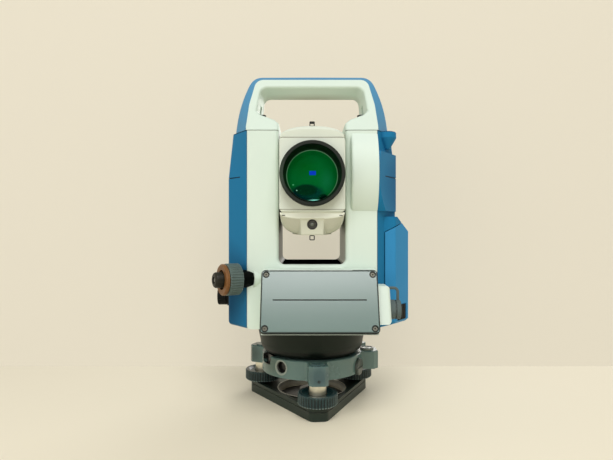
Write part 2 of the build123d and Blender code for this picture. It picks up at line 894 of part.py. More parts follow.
with BuildPart() as alidade_shell:
    add(envelope_solid(0))
    add(envelope_solid(wall), mode=Mode.SUBTRACT)
    with BuildSketch(Plane.XY.offset(body_bottom - 1)):
        Circle(body_bore_radius)
    extrude(amount=wall + 2, mode=Mode.SUBTRACT)
    with BuildSketch(Plane.YZ.offset(-gap_half_width - wall - 1)):
        with Locations((0, trunnion_height)):
            Circle(trunnion_hole_radius)
    extrude(amount=2 * gap_half_width + 2 * wall + 2, mode=Mode.SUBTRACT)
    with BuildSketch(Plane.XY.offset(saddle_height - saddle_plate_thickness)):
        Rectangle(2 * saddle_plate_half_width + seam, 2 * saddle_plate_half_depth + seam)
    extrude(amount=saddle_plate_thickness + 1, mode=Mode.SUBTRACT)
    for handle_side in (-1, 1):
        with BuildSketch(Plane.XY.offset(seam_height - wall - 1)):
            with Locations((handle_side * handle_screw_x, 0)):
                Circle(handle_screw_shank + loose_fit)
        extrude(amount=wall + 2, mode=Mode.SUBTRACT)

plummet_direction = (-cos(radians(plummet_angle)), -sin(radians(plummet_angle)), 0)
plummet_plane = Plane(
    origin=(plummet_x, plummet_y, plummet_height),
    x_dir=(0, 0, 1),
    z_dir=plummet_direction,
)
vertical_motion_plane = Plane(
    origin=(vertical_motion_x, body_half_depth, vertical_motion_height),
    x_dir=(-1, 0, 0),
    z_dir=(0, 1, 0),
)
horizontal_motion_plane = Plane(
    origin=(-body_half_width, horizontal_motion_y, horizontal_motion_height),
    x_dir=(0, 0, -1),
    z_dir=(-1, 0, 0),
)
half_seam = seam / 2
middle_width = 2 * front_half_width - seam

# Low boss on the front cover, which the plummet's tube comes out of
with BuildPart() as plummet_boss:
    with BuildSketch(plummet_plane.offset(-plummet_boss_depth)):
        Circle(plummet_boss_radius)
    extrude(amount=-plummet_boss_length)
    add(envelope_solid(wall / 2), mode=Mode.SUBTRACT)

# White front cover with the panel housing, the plummet's boss and the connector block
with BuildPart() as front_cover:
    add(alidade_shell.part)
    with Locations((0, -half_seam, 0)):
        Box(
            middle_width,
            4 * body_half_depth,
            4 * seam_height,
            align=(Align.CENTER, Align.MAX, Align.CENTER),
            mode=Mode.INTERSECT,
        )
    with BuildSketch(Plane.YZ.offset(front_half_width - 4)):
        Polygon(
            (-block_back, block_bottom),
            (-slope_depth(block_bottom), block_bottom),
            (-slope_depth(block_top), block_top),
            (-block_back, block_top),
        )
    extrude(amount=block_right - front_half_width + 4)
    block_edges = [
        e
        for e in front_cover.edges()
        if abs(e.center().X - block_right) < 0.01 and e.center().Y < -block_back - 0.1
    ]
    fillet(block_edges, block_corner)
    add(plummet_boss.part)
    with BuildSketch(Plane.YZ.offset(block_right)):
        with Locations((connector_y, connector_height)):
            Circle(connector_radius + seat_fit)
    extrude(amount=-connector_length + connector_rise, mode=Mode.SUBTRACT)
    with BuildSketch(plummet_plane.offset(-plummet_tube_inside - 6)):
        Circle(plummet_tube_radius + seat_fit)
    extrude(amount=plummet_tube_inside + 12, mode=Mode.SUBTRACT)
    with BuildSketch(front_panel_plane.offset(-1.5)):
        with GridLocations(panel_width - 2 * panel_screw_inset, panel_length - 2 * panel_screw_inset, 2, 2):
            Circle(panel_screw_radius / 2 + seat_fit)
    extrude(amount=3, mode=Mode.SUBTRACT)

# White rear cover with the housing of the keyboard
with BuildPart() as rear_cover:
    add(alidade_shell.part)
    with Locations((0, half_seam, 0)):
        Box(
            middle_width,
            4 * body_half_depth,
            4 * seam_height,
            align=(Align.CENTER, Align.MIN, Align.CENTER),
            mode=Mode.INTERSECT,
        )
    with BuildSketch(vertical_motion_plane.offset(-wall - 1)):
        Circle(motion_sleeve_radius + loose_fit)
    extrude(amount=wall + 2, mode=Mode.SUBTRACT)
    with BuildSketch(rear_panel_plane.offset(-1.5)):
        with GridLocations(panel_width - 2 * panel_screw_inset, panel_length - 2 * panel_screw_inset, 2, 2):
            Circle(panel_screw_radius / 2 + seat_fit)
    extrude(amount=3, mode=Mode.SUBTRACT)

# Thin outer layer of the body at the height of the telescope's axis, for the height marks
with BuildPart() as mark_layer:
    add(envelope_solid(0))
    add(envelope_solid(mark_depth), mode=Mode.SUBTRACT)
    with Locations((0, 0, trunnion_height)):
        Box(4 * body_half_width, 4 * body_half_width, mark_height, mode=Mode.INTERSECT)
    with Locations((0, -half_seam, trunnion_height)):
        Box(
            4 * body_half_width,
            2 * drum_radius,
            2 * mark_height,
            align=(Align.CENTER, Align.MAX, Align.CENTER),
            mode=Mode.INTERSECT,
        )
    with Locations((0, 0, trunnion_height)):
        Box(2 * mark_half_width, 4 * drum_radius, 2 * mark_height, mode=Mode.SUBTRACT)

# Blue left cover
with BuildPart() as left_cover:
    add(alidade_shell.part)
    with Locations((-front_half_width - half_seam, 0, 0)):
        Box(
            body_half_width,
            4 * body_half_depth,
            4 * seam_height,
            align=(Align.MAX, Align.CENTER, Align.CENTER),
            mode=Mode.INTERSECT,
        )
    add(mark_layer.part, mode=Mode.SUBTRACT)
    with BuildSketch(plummet_plane.offset(-plummet_tube_inside - 6)):
        Circle(plummet_tube_radius + seat_fit)
    extrude(amount=plummet_tube_inside + 12, mode=Mode.SUBTRACT)
    with BuildSketch(horizontal_motion_plane.offset(-motion_sleeve_depth)):
        Circle(motion_sleeve_radius + loose_fit)
    extrude(amount=motion_sleeve_depth + 2, mode=Mode.SUBTRACT)


# Bulge over the battery compartment, which the door is cut from
def bulge_solid(inset):
    """Bulge on the right side, moved inward by an inset."""
    with BuildPart() as bulge:
        with BuildSketch(Plane.XY.offset(bulge_bottom + inset)):
            Polygon(
                (bulge_root_x - 2 * wall, -bulge_root_depth),
                (bulge_root_x, -bulge_root_depth),
                (bulge_shoulder_x, -bulge_shoulder_depth),
                (bulge_side_x, -bulge_side_depth),
                (bulge_side_x, bulge_side_depth),
                (bulge_shoulder_x, bulge_shoulder_depth),
                (bulge_root_x, bulge_root_depth),
                (bulge_root_x - 2 * wall, bulge_root_depth),
            )
            if inset:
                offset(amount=-inset, kind=Kind.INTERSECTION)
        extrude(amount=bulge_top - bulge_bottom - 2 * inset)
        with BuildSketch(Plane.XZ):
            Polygon(
                (bulge_side_x + 1, bulge_top - bulge_bevel - 1.4 * inset),
                (bulge_side_x - inset, bulge_top - bulge_bevel - 0.4 * inset),
                (bulge_side_x - bulge_bevel - inset, bulge_top - 0.4 * inset),
                (bulge_side_x - bulge_bevel - inset, bulge_top + 1),
                (bulge_side_x + 1, bulge_top + 1),
            )
        extrude(amount=2 * body_half_depth, both=True, mode=Mode.SUBTRACT)
        if not inset:
            upright_edges = bulge.edges().filter_by(Axis.Z)
            fillet(
                upright_edges.filter_by(lambda e: e.center().X > bulge_root_x + 1),
                bulge_edge_radius,
            )
            bottom_edges = bulge.faces().sort_by(Axis.Z)[0].edges()
            chamfer(
                bottom_edges.filter_by(lambda e: e.center().X > bulge_root_x),
                bulge_bottom_bevel,
            )
    return bulge.part


def below_door_line(gap):
    """Space under the sloped line where the door ends, less a gap."""
    inner_height = door_line_height - bulge_root_x * door_line_slope - gap
    outer_height = inner_height + 2 * bulge_side_x * door_line_slope
    with BuildPart() as space:
        with BuildSketch(Plane.XZ):
            Polygon((0, 0), (2 * bulge_side_x, 0), (2 * bulge_side_x, outer_height), (0, inner_height))
        extrude(amount=2 * body_half_depth, both=True)
    return space.part


# Blue right cover with the battery tray, the hinge ears and the antenna bulge
with BuildPart() as right_cover:
    add(alidade_shell.part)
    with Locations((front_half_width + half_seam, 0, 0)):
        Box(
            body_half_width,
            4 * body_half_depth,
            4 * seam_height,
            align=(Align.MIN, Align.CENTER, Align.CENTER),
            mode=Mode.INTERSECT,
        )
    add(mark_layer.part, mode=Mode.SUBTRACT)
    with Locations((tray_left, battery_y, battery_bottom - tray_wall)):
        Box(
            body_half_width - 1 - tray_left,
            battery_width + 2 * tray_wall + 2 * loose_fit,
            battery_height + 2 * tray_wall + loose_fit,
            align=(Align.MIN, Align.CENTER, Align.MIN),
        )
    with Locations((tray_left + tray_wall, battery_y, battery_bottom)):
        Box(
            body_half_width,
            battery_width + 2 * loose_fit,
            battery_height + loose_fit,
            align=(Align.MIN, Align.CENTER, Align.MIN),
            mode=Mode.SUBTRACT,
        )

with BuildPart() as upper_bulge:
    add(bulge_solid(0))
    add(below_door_line(0), mode=Mode.SUBTRACT)
    add(envelope_solid(wall / 2), mode=Mode.SUBTRACT)

with BuildPart() as antenna_bulge:
    with BuildSketch(Plane(origin=(antenna_x, antenna_y, 0), x_dir=(1, 0, 0), z_dir=(0, -1, 0))):
        with BuildLine():
            antenna_low = seam_height - antenna_height
            Polyline(
                (0, seam_height),
                (antenna_top_radius - 1, seam_height),
                (antenna_top_radius, seam_height - 1),
                (antenna_top_radius, seam_height - 0.35 * antenna_height),
                (antenna_tip_radius, antenna_low + 1.2),
                (antenna_tip_radius - 1.2, antenna_low),
                (0, antenna_low),
                close=True,
            )
        make_face()
    revolve(axis=Axis((antenna_x, antenna_y, 0), (0, 0, 1)))
    add(envelope_solid(wall / 2), mode=Mode.SUBTRACT)

with BuildPart() as hinge_ears:
    for ear_bottom in (knuckle_bottom - loose_fit - ear_height, knuckle_top + loose_fit):
        with BuildSketch(Plane.XY.offset(ear_bottom)):
            with Locations((hinge_x, hinge_y)):
                Circle(knuckle_radius)
            Polygon(
                (hinge_x - 4.6, hinge_y - 0.6),
                (hinge_x - 1.9, hinge_y + 1.6),
                (hinge_x + 1.7, hinge_y - 1.8),
                (hinge_x - 0.6, hinge_y - 5.5),
                (hinge_x - 3.6, hinge_y - 5.5),
            )
        extrude(amount=ear_height)
    with BuildSketch(Plane.XY.offset(knuckle_bottom - loose_fit - 1)):
        with Locations((hinge_x, hinge_y)):
            Circle(pintle_radius)
    extrude(amount=pintle_length + 1)
    with BuildSketch(Plane.XY.offset(knuckle_top + loose_fit + 1)):
        with Locations((hinge_x, hinge_y)):
            Circle(pintle_radius)
    extrude(amount=-pintle_length - 1)
    add(envelope_solid(wall / 2), mode=Mode.SUBTRACT)

with right_cover:
    add(upper_bulge.part)
    add(antenna_bulge.part)
    add(hinge_ears.part)

# Battery door: hollow, with its knuckle along the rear edge and a recess for the latch
bevel_run = Vector(bulge_side_x - bulge_shoulder_x, bulge_shoulder_depth - bulge_side_depth, 0)
latch_plane = Plane(
    origin=(
        (bulge_side_x + bulge_shoulder_x) / 2,
        -(bulge_side_depth + bulge_shoulder_depth) / 2,
        latch_bottom + latch_height / 2,
    ),
    x_dir=bevel_run.normalized(),
    z_dir=Vector(bevel_run.Y, -bevel_run.X, 0).normalized(),
)
with BuildPart() as battery_door:
    add(bulge_solid(0))
    add(below_door_line(2 * loose_fit), mode=Mode.INTERSECT)
    add(bulge_solid(wall), mode=Mode.SUBTRACT)
    add(envelope_solid(-loose_fit), mode=Mode.SUBTRACT)
    with Locations((hinge_x + knuckle_radius + hinge_clearance, 0, 0)):
        Box(
            body_half_width,
            2 * body_half_depth,
            bulge_top,
            align=(Align.MAX, Align.MIN, Align.MIN),
            mode=Mode.SUBTRACT,
        )
    with BuildSketch(Plane.XY.offset(knuckle_bottom)):
        with Locations((hinge_x, hinge_y)):
            Circle(knuckle_radius)
            Circle(pintle_radius + run_fit, mode=Mode.SUBTRACT)
        with BuildSketch(Plane.XY):
            Polygon(
                (hinge_x + 1.5, hinge_y + 1.6),
                (hinge_x + 5.5, hinge_y - 1.6),
                (hinge_x + 5.5, hinge_y - 3.6),
                (hinge_x + 2.0, hinge_y - 1.2),
            )
    extrude(amount=knuckle_top - knuckle_bottom)
    with BuildSketch(latch_plane.offset(-latch_thickness)):
        Rectangle(latch_width + latch_travel + 2 * loose_fit, latch_height + 2 * loose_fit)
    extrude(amount=10, mode=Mode.SUBTRACT)
    with BuildSketch(latch_plane.offset(-latch_thickness - loose_fit)):
        Rectangle(latch_width + latch_travel + 2, latch_height + 3)
    extrude(amount=-1.2)

# Ribbed latch that slides in the recess of the door
with BuildPart() as battery_latch:
    with BuildSketch(latch_plane.offset(-latch_thickness)):
        with Locations((-latch_travel / 2, 0)):
            Rectangle(latch_width, latch_height)
    extrude(amount=latch_thickness + latch_rise)
    latch_face = battery_latch.faces().sort_by(Axis(latch_plane.origin, latch_plane.z_dir))[-1]
    fillet(latch_face.edges(), 0.5)
    with BuildSketch(latch_plane.offset(latch_rise - 0.9)):
        with Locations((-latch_travel / 2, 0)):
            with GridLocations(latch_width / 4, 1, 4, 1):
                Rectangle(latch_rib_width, latch_height + 2)
    extrude(amount=3, mode=Mode.SUBTRACT)

# Battery pack in its tray
with BuildPart() as battery_pack:
    with Locations((tray_left + tray_wall + seam, battery_y, battery_bottom)):
        Box(
            battery_thickness,
            battery_width,
            battery_height,
            align=(Align.MIN, Align.CENTER, Align.MIN),
        )
    fillet(battery_pack.edges().filter_by(Axis.Z), 2)

# Dark plate on the saddle between the standards
with BuildPart() as saddle_plate:
    with BuildSketch(Plane.XY.offset(saddle_height - saddle_plate_thickness)):
        Rectangle(2 * saddle_plate_half_width, 2 * saddle_plate_half_depth)
    extrude(amount=saddle_plate_thickness)

# Blank plate over the front panel
with BuildPart() as blank_plate:
    with BuildSketch(front_panel_plane):
        RectangleRounded(panel_width, panel_length, panel_corner)
    extrude(amount=panel_thickness)
    chamfer(blank_plate.faces().sort_by(Axis(front_panel_plane.origin, panel_normal))[-1].edges(), 0.6)
    with BuildSketch(front_panel_plane):
        with GridLocations(panel_width - 2 * panel_screw_inset, panel_length - 2 * panel_screw_inset, 2, 2):
            Circle(panel_screw_radius / 2 + loose_fit / 2)
    extrude(amount=panel_thickness, mode=Mode.SUBTRACT)
    with BuildSketch(front_panel_plane.offset(panel_thickness - panel_screw_recess_depth)):
        with GridLocations(panel_width - 2 * panel_screw_inset, panel_length - 2 * panel_screw_inset, 2, 2):
            Circle(panel_screw_recess)
    extrude(amount=panel_thickness, mode=Mode.SUBTRACT)
    with BuildSketch(front_panel_plane.offset(panel_thickness - panel_groove_depth)):
        with Locations((0, 1)):
            SlotOverall(panel_groove_length, panel_groove_width)
    extrude(amount=panel_thickness, mode=Mode.SUBTRACT)
    with BuildSketch(front_panel_plane.offset(panel_thickness / 2)):
        with Locations((panel_notch_inset + panel_notch_length / 2 - panel_width / 2, panel_length / 2)):
            Rectangle(panel_notch_length, 2 * panel_notch_depth)
    extrude(amount=panel_thickness, mode=Mode.SUBTRACT)


def panel_screw_shape(plane):
    """Four screws in the corners of a panel."""
    across = panel_width - 2 * panel_screw_inset
    along_slope = panel_length - 2 * panel_screw_inset
    with BuildPart() as screws:
        with BuildSketch(plane.offset(panel_thickness - panel_screw_recess_depth)):
            with GridLocations(across, along_slope, 2, 2):
                Circle(panel_screw_radius)
        extrude(amount=panel_screw_recess_depth - 0.6)
        with BuildSketch(plane.offset(panel_thickness - 1.5)):
            with GridLocations(across, along_slope, 2, 2):
                RegularPolygon(panel_screw_radius * 0.5, 6)
        extrude(amount=2, mode=Mode.SUBTRACT)
        with BuildSketch(plane.offset(-1)):
            with GridLocations(across, along_slope, 2, 2):
                Circle(panel_screw_radius / 2)
        extrude(amount=panel_thickness - panel_screw_recess_depth + 1.1)
    return screws.part


# Screws of both panels
with BuildPart() as panel_screws:
    add(panel_screw_shape(front_panel_plane))
    add(panel_screw_shape(rear_panel_plane))

soft_key_spots = [(display_x + (i - 1.5) * soft_key_pitch, soft_key_y) for i in range(4)]
power_key_spot = (key_column_x, power_key_y)
cursor_spot = (key_column_x, cursor_y)
enter_spot = (key_column_x, enter_y)

# Keyboard plate on the operator's side
with BuildPart() as keyboard_plate:
    with BuildSketch(rear_panel_plane):
        RectangleRounded(panel_width, panel_length, panel_corner)
        with GridLocations(panel_width - 2 * panel_screw_inset, panel_length - 2 * panel_screw_inset, 2, 2):
            Circle(panel_screw_radius / 2 + loose_fit / 2, mode=Mode.SUBTRACT)
        with Locations(*soft_key_spots):
            RectangleRounded(
                soft_key_width + 2 * loose_fit,
                soft_key_height + 2 * loose_fit,
                key_corner + loose_fit,
                mode=Mode.SUBTRACT,
            )
        with Locations(power_key_spot):
            Circle(power_key_radius + loose_fit, mode=Mode.SUBTRACT)
        with Locations(cursor_spot):
            Circle(cursor_radius + loose_fit, mode=Mode.SUBTRACT)
        with Locations(enter_spot):
            RectangleRounded(
                enter_width + 2 * loose_fit,
                enter_height + 2 * loose_fit,
                key_corner + loose_fit,
                mode=Mode.SUBTRACT,
            )
    extrude(amount=panel_thickness)
    with BuildSketch(rear_panel_plane.offset(panel_thickness - panel_screw_recess_depth)):
        with GridLocations(panel_width - 2 * panel_screw_inset, panel_length - 2 * panel_screw_inset, 2, 2):
            Circle(panel_screw_recess)
    extrude(amount=panel_thickness, mode=Mode.SUBTRACT)
    with BuildSketch(rear_panel_plane.offset(panel_thickness - display_depth)):
        with Locations((display_x, display_y)):
            RectangleRounded(display_width + seam, display_height + seam, 1.5)
    extrude(amount=panel_thickness, mode=Mode.SUBTRACT)

# Window of the display
with BuildPart() as display_window:
    with BuildSketch(rear_panel_plane.offset(panel_thickness - display_depth)):
        with Locations((display_x, display_y)):
            RectangleRounded(display_width, display_height, 1.4)
    extrude(amount=display_depth)

key_height = panel_thickness + key_rise - key_bottom
key_plane = rear_panel_plane.offset(key_bottom)
key_axis = Axis(rear_panel_plane.origin, rear_panel_plane.z_dir)


def soft_key_shape(spot):
    """One soft key under the display."""
    with BuildPart() as key:
        with BuildSketch(key_plane):
            with Locations(spot):
                RectangleRounded(soft_key_width, soft_key_height, key_corner)
        extrude(amount=key_height)
        fillet(key.faces().sort_by(key_axis)[-1].edges(), 0.6)
    return key.part


# Keys of the keyboard
with BuildPart() as soft_key_1:
    add(soft_key_shape(soft_key_spots[0]))
with BuildPart() as soft_key_2:
    add(soft_key_shape(soft_key_spots[1]))
with BuildPart() as soft_key_3:
    add(soft_key_shape(soft_key_spots[2]))
with BuildPart() as soft_key_4:
    add(soft_key_shape(soft_key_spots[3]))
with BuildPart() as power_key:
    with BuildSketch(key_plane):
        with Locations(power_key_spot):
            Circle(power_key_radius)
    extrude(amount=key_height)
    fillet(power_key.faces().sort_by(key_axis)[-1].edges(), 0.6)
with BuildPart() as cursor_pad:
    with BuildSketch(key_plane):
        with Locations(cursor_spot):
            Circle(cursor_radius)
    extrude(amount=key_height)
    fillet(cursor_pad.faces().sort_by(key_axis)[-1].edges(), 0.6)
    with BuildSketch(rear_panel_plane.offset(panel_thickness + key_rise - 0.5)):
        with Locations(cursor_spot):
            Circle(cursor_radius * 0.45)
    extrude(amount=2, mode=Mode.SUBTRACT)
with BuildPart() as enter_key:
    with BuildSketch(key_plane):
        with Locations(enter_spot):
            RectangleRounded(enter_width, enter_height, key_corner)
    extrude(amount=key_height)
    fillet(enter_key.faces().sort_by(key_axis)[-1].edges(), 0.6)

# Data connector and its rubber cap
with BuildPart() as data_connector:
    with BuildSketch(Plane.YZ.offset(block_right - connector_length + connector_rise)):
        with Locations((connector_y, connector_height)):
            Circle(connector_radius)
    extrude(amount=connector_length)
    with BuildSketch(Plane.YZ.offset(block_right)):
        with Locations((connector_y, connector_height)):
            Circle(connector_radius - 1.2)
    extrude(amount=connector_rise, mode=Mode.SUBTRACT)
with BuildPart() as connector_cap:
    with BuildSketch(Plane.YZ.offset(block_right + seam)):
        with Locations((connector_y, connector_height)):
            Circle(cap_radius)
    extrude(amount=cap_length)
    fillet(connector_cap.faces().sort_by(Axis.X)[-1].edges(), 0.8)
    with BuildSketch(Plane.YZ.offset(block_right)):
        with Locations((connector_y, connector_height)):
            Circle(connector_radius + run_fit)
    extrude(amount=connector_rise + 2 * seam, mode=Mode.SUBTRACT)
    with BuildSketch(Plane.YZ.offset(block_right + seam + cap_length * 0.45)):
        with Locations((connector_y, connector_height)):
            Circle(cap_radius + 1)
            Circle(cap_radius - cap_groove_depth, mode=Mode.SUBTRACT)
    extrude(amount=cap_groove_width, mode=Mode.SUBTRACT)

# Tether that keeps the cap on the block
with BuildPart() as cap_tether:
    tether_x = block_right + seam + cap_length * 0.78
    with BuildLine():
        tether_start = (tether_x, connector_y, connector_height + cap_radius + 0.1)
        tether_corner = (tether_x, connector_y, tether_top - tether_bend)
        tether_turn = (tether_x - tether_bend, connector_y, tether_top)
        tether_end = (block_right + 0.1, connector_y, tether_top)
        Line(tether_start, tether_corner)
        TangentArc(tether_corner, tether_turn, tangent=(0, 0, 1))
        Line(tether_turn, tether_end)
    with BuildSketch(Plane(origin=tether_start, z_dir=(0, 0, 1))):
        Circle(tether_radius)
    sweep()

# Optical plummet: tube, fluted focus ring, orange trim ring and eyepiece
with BuildPart() as plummet_tube:
    with BuildSketch(plummet_plane.offset(-plummet_tube_inside)):
        Circle(plummet_tube_radius)
    extrude(amount=plummet_tube_inside)
    with BuildSketch(plummet_plane):
        Circle(plummet_neck_radius)
    extrude(amount=plummet_neck_length)
    with BuildSketch(plummet_plane):
        Circle(plummet_tip_radius)
    extrude(amount=plummet_tip_length)
with BuildPart() as plummet_focus_ring:
    with BuildSketch(plummet_plane.offset(plummet_ring_gap)):
        Circle(plummet_ring_radius)
    extrude(amount=plummet_ring_length)
    chamfer(plummet_focus_ring.edges(), 0.8)
    with BuildSketch(plummet_plane):
        with PolarLocations(plummet_ring_radius + plummet_flute_radius / 3, plummet_flutes):
            Circle(plummet_flute_radius)
        Circle(plummet_neck_radius + run_fit)
    extrude(amount=plummet_ring_length + 1, mode=Mode.SUBTRACT)
trim_start = plummet_ring_gap + plummet_ring_length
with BuildPart() as plummet_trim_ring:
    with BuildSketch(plummet_plane.offset(trim_start)):
        Circle(trim_neck_radius)
    extrude(amount=trim_neck_length)
    with BuildSketch(plummet_plane.offset(trim_start + trim_neck_length)):
        Circle(trim_ring_radius)
    extrude(amount=trim_ring_length - trim_neck_length)
    trim_face = plummet_trim_ring.faces().sort_by(Axis(plummet_plane.origin, plummet_plane.z_dir))[-1]
    chamfer(trim_face.edges(), 1)
    with BuildSketch(plummet_plane.offset(trim_start)):
        Circle(trim_ring_hole)
    extrude(amount=trim_ring_length + 1, mode=Mode.SUBTRACT)
with BuildPart() as plummet_eyepiece:
    with BuildSketch(plummet_plane.offset(plummet_neck_length + plummet_ring_gap)):
        Circle(plummet_eyepiece_radius)
    with BuildSketch(plummet_plane.offset(plummet_eyepiece_end)):
        Circle(plummet_eyepiece_tip)
    loft()
    eyepiece_face = plummet_eyepiece.faces().sort_by(Axis(plummet_plane.origin, plummet_plane.z_dir))[-1]
    fillet(eyepiece_face.edges(), plummet_eyepiece_round)
    with BuildSketch(plummet_plane.offset(plummet_neck_length)):
        Circle(plummet_tip_radius + run_fit)
    extrude(amount=plummet_tip_length - plummet_neck_length + seam, mode=Mode.SUBTRACT)
    with BuildSketch(plummet_plane.offset(plummet_eyepiece_end - plummet_glass_depth)):
        Circle(plummet_glass_radius)
    extrude(amount=2 * plummet_glass_depth, mode=Mode.SUBTRACT)


# Carrying handle: white grip under a blue band
def side_taper():
    """Side outline of the handle, broad at the foot and narrow at the grip."""
    with BuildPart() as taper:
        with BuildSketch(Plane.YZ.offset(-100)):
            Polygon(
                (-body_half_depth, seam_height + seam),
                (body_half_depth, seam_height + seam),
                (handle_top_half_depth, handle_top + 2),
                (-handle_top_half_depth, handle_top + 2),
            )
        extrude(amount=200)
        with BuildSketch(Plane.XY.offset(seam_height)):
            add(body_section(body_top_half_width, 0))
        extrude(amount=handle_top, mode=Mode.INTERSECT)
    return taper.part


def arch_outline(bottom_half, knee_half, top_half, top, corner):
    """Outline of an arch that stands on the two standards, with rounded knees and corners."""
    with BuildSketch(Plane.XY) as arch:
        Polygon(
            (-bottom_half, seam_height + seam),
            (bottom_half, seam_height + seam),
            (knee_half, handle_knee_height),
            (top_half, top),
            (-top_half, top),
            (-knee_half, handle_knee_height),
        )
        fillet(arch.vertices().group_by(Axis.Y)[-1], corner)
        fillet([v for v in arch.vertices() if abs(v.Y - handle_knee_height) < 0.01], handle_knee_radius)
    return arch.sketch


with BuildPart() as handle_grip:
    with BuildSketch(Plane.XZ):
        add(arch_outline(grip_bottom_half, grip_knee_half, grip_top_half, grip_top, grip_corner))
        with BuildSketch(Plane.XZ, mode=Mode.SUBTRACT) as opening_outline:
            Polygon(
                (-gap_half_width, seam_height - 5),
                (gap_half_width, seam_height - 5),
                (gap_half_width, shoulder_inner_height - 4),
                (shoulder_inner_x, shoulder_inner_height),
                (shoulder_outer_x, shoulder_outer_height),
                (opening_low_half, shoulder_outer_height + 4),
                (opening_half, opening_top),
                (-opening_half, opening_top),
                (-opening_low_half, shoulder_outer_height + 4),
                (-shoulder_outer_x, shoulder_outer_height),
                (-shoulder_inner_x, shoulder_inner_height),
                (-gap_half_width, shoulder_inner_height - 4),
            )
            fillet(opening_outline.vertices().group_by(Axis.Y)[-1], opening_corner)
    extrude(amount=100, both=True)
    add(side_taper(), mode=Mode.INTERSECT)
    opening_edges = [
        e
        for e in handle_grip.edges()
        if abs(e.center().X) < opening_low_half + 0.1
        and abs(e.center().Y) > handle_top_half_depth
        and e.center().Z > seam_height + 2
        and e.center().Z < opening_top + 0.5
    ]
    fillet(opening_edges, handle_edge_radius)
    for handle_side in (-1, 1):
        with BuildSketch(Plane.XY.offset(handle_screw_seat)):
            with Locations((handle_side * handle_screw_x, 0)):
                Circle(handle_pocket_radius)
        extrude(amount=handle_pocket_top - handle_screw_seat, mode=Mode.SUBTRACT)
        with BuildSketch(Plane.XY.offset(seam_height)):
            with Locations((handle_side * handle_screw_x, 0)):
                Circle(handle_screw_shank + loose_fit)
        extrude(amount=handle_screw_seat - seam_height, mode=Mode.SUBTRACT)

with BuildPart() as handle_band:
    with BuildSketch(Plane.XZ):
        add(arch_outline(handle_bottom_half, handle_knee_half, handle_top_half, handle_top, handle_corner))
        with BuildSketch(Plane.XZ, mode=Mode.SUBTRACT):
            add(
                arch_outline(
                    grip_bottom_half + half_seam,
                    grip_knee_half + half_seam,
                    grip_top_half + half_seam,
                    grip_top + half_seam,
                    grip_corner,
                )
            )
    extrude(amount=100, both=True)
    add(side_taper(), mode=Mode.INTERSECT)
    band_edges = [
        e
        for e in handle_band.edges()
        if abs(e.center().Y) > handle_top_half_depth
        and e.center().Z > seam_height + 2
        and (abs(e.center().X) > grip_bottom_half + 1 or e.center().Z > handle_top - 1)
    ]
    fillet(band_edges, handle_edge_radius)

# Screws that hold the handle on the yoke
with BuildPart() as handle_screws:
    for handle_side in (-1, 1):
        with BuildSketch(Plane.XY.offset(handle_screw_seat)):
            with Locations((handle_side * handle_screw_x, 0)):
                Circle(handle_screw_radius)
        extrude(amount=handle_screw_head)
        with BuildSketch(Plane.XY.offset(handle_screw_bottom)):
            with Locations((handle_side * handle_screw_x, 0)):
                Circle(handle_screw_shank)
        extrude(amount=handle_screw_seat - handle_screw_bottom)
        with BuildSketch(Plane.XY.offset(handle_screw_seat + handle_screw_head - 1.6)):
            with Locations((handle_side * handle_screw_x, 0)):
                Rectangle(3 * handle_screw_radius, 1.4)
        extrude(amount=3, mode=Mode.SUBTRACT)

# Yoke frame inside the covers
with BuildPart() as yoke_frame:
    with Locations((0, 0, yoke_bottom)):
        Box(
            2 * yoke_base_half_width,
            2 * yoke_base_half_depth,
            yoke_base_top - yoke_bottom,
            align=(Align.CENTER, Align.CENTER, Align.MIN),
        )
    for upright_side in (-1, 1):
        with Locations((upright_side * (upright_inner + upright_outer) / 2, 0, yoke_bottom)):
            Box(
                upright_outer - upright_inner,
                2 * upright_half_depth,
                upright_top - yoke_bottom,
                align=(Align.CENTER, Align.CENTER, Align.MIN),
            )
        for foot_side in (-1, 1):
            with Locations((upright_side * yoke_foot_x, foot_side * yoke_foot_y, body_bottom + wall)):
                Box(
                    yoke_foot_size,
                    yoke_foot_size,
                    20,
                    align=(Align.CENTER, Align.CENTER, Align.MIN),
                )
        with BuildSketch(Plane.XY.offset(handle_screw_bottom - 5)):
            with Locations((upright_side * handle_screw_x, 0)):
                Circle(handle_screw_shank + seat_fit)
        extrude(amount=50, mode=Mode.SUBTRACT)
    with BuildSketch(Plane.YZ.offset(-100)):
        with Locations((0, trunnion_height)):
            Circle(bearing_radius + seat_fit)
    extrude(amount=200, mode=Mode.SUBTRACT)
    with BuildSketch(Plane.XY):
        Circle(spindle_bore * 2)
    extrude(amount=seam_height, mode=Mode.SUBTRACT)
    with BuildSketch(Plane.XY.offset(yoke_bottom + 8)):
        with Locations((-upright_inner / 2 - 1, 0), (upright_inner / 2 + 1, 0)):
            Rectangle(upright_inner / 2 - 3, 2 * yoke_base_half_depth - 12)
    extrude(amount=seam_height, mode=Mode.SUBTRACT)
    shaft_start = upright_half_depth - body_half_depth - motion_shaft_depth
    with BuildSketch(vertical_motion_plane.offset(shaft_start)):
        Circle(motion_shaft_radius + run_fit)
    extrude(amount=motion_shaft_depth + 1, mode=Mode.SUBTRACT)
    shaft_start = yoke_base_half_width - body_half_width - motion_shaft_depth
    with BuildSketch(horizontal_motion_plane.offset(shaft_start)):
        Circle(motion_shaft_radius + run_fit)
    extrude(amount=motion_shaft_depth + 1, mode=Mode.SUBTRACT)

# Axles of the horizontal axis, fixed in the sides of the telescope
with BuildPart() as trunnion_axles:
    for axle_side in (-1, 1):
        with BuildSketch(Plane.YZ.offset(axle_side * axle_inner)):
            with Locations((0, trunnion_height)):
                Circle(axle_radius)
        extrude(amount=axle_side * (axle_outer - axle_inner))

